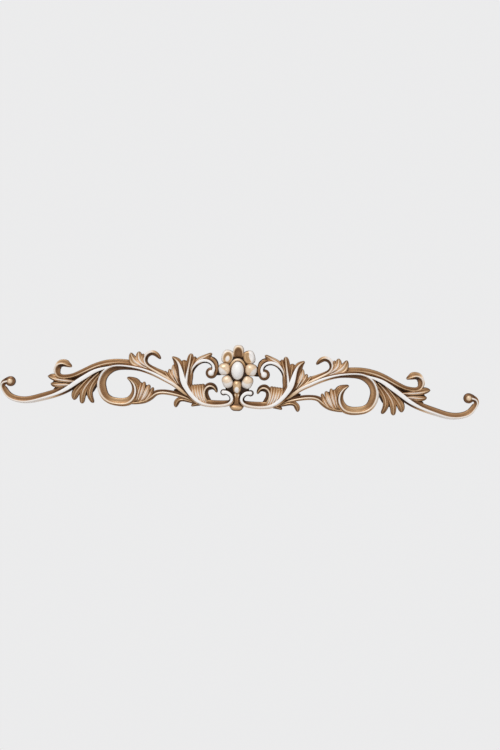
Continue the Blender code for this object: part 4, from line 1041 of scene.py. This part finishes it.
def moulding_material(material):
    """Bronze-gold, cream and pearl paint over umber."""
    material.use_nodes = True
    tree = material.node_tree
    shader = tree.nodes["Principled BSDF"]
    brush = tree.nodes.new('ShaderNodeGroup')
    brush.node_tree = brushed_paint()
    for label in ("Paint", "Recess"):
        node = tree.nodes.new('ShaderNodeAttribute')
        node.attribute_name = label.lower()
        tree.links.new(node.outputs["Fac"], brush.inputs[label])
    brush.inputs["Streak"].default_value = STREAK
    brush.inputs["Glaze"].default_value = GLAZE
    low, high = PAINT_STOPS[0][0], PAINT_STOPS[-1][0]
    ramp = tree.nodes.new('ShaderNodeValToRGB')
    stops = ramp.color_ramp.elements
    for i, (value, colour) in enumerate(PAINT_STOPS):
        at = (value - low) / (high - low)
        stop = stops[i] if i < 2 else stops.new(at)
        stop.position = at
        stop.color = (*colour, 1.0)
    tone, grain = brush.outputs["Tone"], brush.outputs["Grain"]
    tree.links.new(ranged(tree, tone, (low, high)), ramp.inputs["Fac"])
    bump = add_node(tree, 'ShaderNodeBump', Strength=BUMP_STRENGTH, Distance=BUMP_HEIGHT,
                    Height=grain)
    for label, value in (("Base Color", ramp.outputs["Color"]),
                         ("Metallic", ranged(tree, tone, METAL_TONES, METAL)),
                         ("Roughness", ranged(tree, grain, GRAIN_SPAN, GLOSS)),
                         ("Normal", bump.outputs["Normal"])):
        tree.links.new(value, shader.inputs[label])


moulding_material(moulding_paint)
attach(moulding, "root")
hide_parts("scroll_moulding")
bpy.context.scene.collection.objects.link(moulding)

# Floor and background. The photograph shows the moulding on a pale plain ground, lit evenly; the
# floor is a matt board far below the view, and the world is the same pale grey, a little dimmer.
FLOOR_LEVEL = -0.95
FLOOR_HALF = 2.2
FLOOR_FORWARD = -1.9
FLOOR_GREY = (0.8, 0.8, 0.8, 1.0)
FLOOR_ROUGHNESS = 0.9
bm = bmesh.new()
bmesh.ops.create_grid(bm, x_segments=1, y_segments=1, size=FLOOR_HALF)
bmesh.ops.translate(bm, verts=bm.verts[:], vec=(0.0, FLOOR_FORWARD, FLOOR_LEVEL))
floor_mesh = bpy.data.meshes.new("floor")
bm.to_mesh(floor_mesh)
bm.free()
floor = bpy.data.objects.new("floor", floor_mesh)
floor_material = bpy.data.materials.new("pale_floor")
floor_material.use_nodes = True
board = floor_material.node_tree.nodes["Principled BSDF"]
board.inputs["Base Color"].default_value = FLOOR_GREY
board.inputs["Roughness"].default_value = FLOOR_ROUGHNESS
floor_mesh.materials.append(floor_material)
bpy.context.scene.collection.objects.link(floor)

BACKGROUND = (0.835, 0.835, 0.84, 1.0)
SKYLIGHT = 0.62
world = bpy.data.worlds.new("studio")
bpy.context.scene.world = world
world.use_nodes = True
sky = world.node_tree
seen = sky.nodes["Background"]
seen.inputs["Color"].default_value = BACKGROUND
lit = add_node(sky, 'ShaderNodeBackground', Color=BACKGROUND, Strength=SKYLIGHT)
looking = sky.nodes.new('ShaderNodeLightPath').outputs["Is Camera Ray"]
choice = add_node(sky, 'ShaderNodeMixShader', i0=looking, i1=lit.outputs[0], i2=seen.outputs[0])
sky.links.new(choice.outputs[0], sky.nodes["World Output"].inputs["Surface"])
bpy.context.scene.view_settings.view_transform = 'Standard'

# Lamps: a soft key from above and a little from the left, which draws the shadows of the ridges,
# and a broad weak fill from the right. Each is a round area lamp turned to the moulding.
LAMPS = (("key", (-0.9, -2.0, 2.4), 1.0, 47.0), ("fill", (1.6, -2.8, 0.2), 2.0, 12.0))
for name, spot, size, power in LAMPS:
    lamp = bpy.data.lights.new(name, 'AREA')
    lamp.shape = 'DISK'
    lamp.size = size
    lamp.energy = power
    holder = bpy.data.objects.new(name, lamp)
    aim = (Vector((0.0, 0.0, 0.0)) - Vector(spot)).to_track_quat('-Z', 'Y')
    holder.matrix_world = Matrix.Translation(spot) @ aim.to_matrix().to_4x4()
    bpy.context.scene.collection.objects.link(holder)

# Camera: it stands nearly square in front of the moulding, about 3 degrees to one side, and is
# rolled about 2 degrees, as the photograph is. It looks at a point just off the boss's middle.
VIEW_DISTANCE = 2.6
VIEW_YAW = math.radians(3.3)
VIEW_ROLL = math.radians(2.1)
FRAME_HEIGHT = 1.557
SENSOR = 36.0
LOOK_AT = Vector((0.0253, 0.0, -0.0095))
camera = bpy.data.cameras.new("camera")
camera.sensor_fit = 'VERTICAL'
camera.sensor_height = SENSOR
camera.lens = SENSOR * VIEW_DISTANCE / FRAME_HEIGHT
back = Vector((math.sin(VIEW_YAW), -math.cos(VIEW_YAW), 0.0))
side = Vector((math.cos(VIEW_YAW), math.sin(VIEW_YAW), 0.0))
up = Vector((0.0, 0.0, 1.0))
right = side * math.cos(VIEW_ROLL) + up * math.sin(VIEW_ROLL)
top = up * math.cos(VIEW_ROLL) - side * math.sin(VIEW_ROLL)
viewer = bpy.data.objects.new("camera", camera)
turned = Matrix((right, top, back)).transposed().to_4x4()
viewer.matrix_world = Matrix.Translation(LOOK_AT + back * VIEW_DISTANCE) @ turned
bpy.context.scene.collection.objects.link(viewer)
bpy.context.scene.camera = viewer
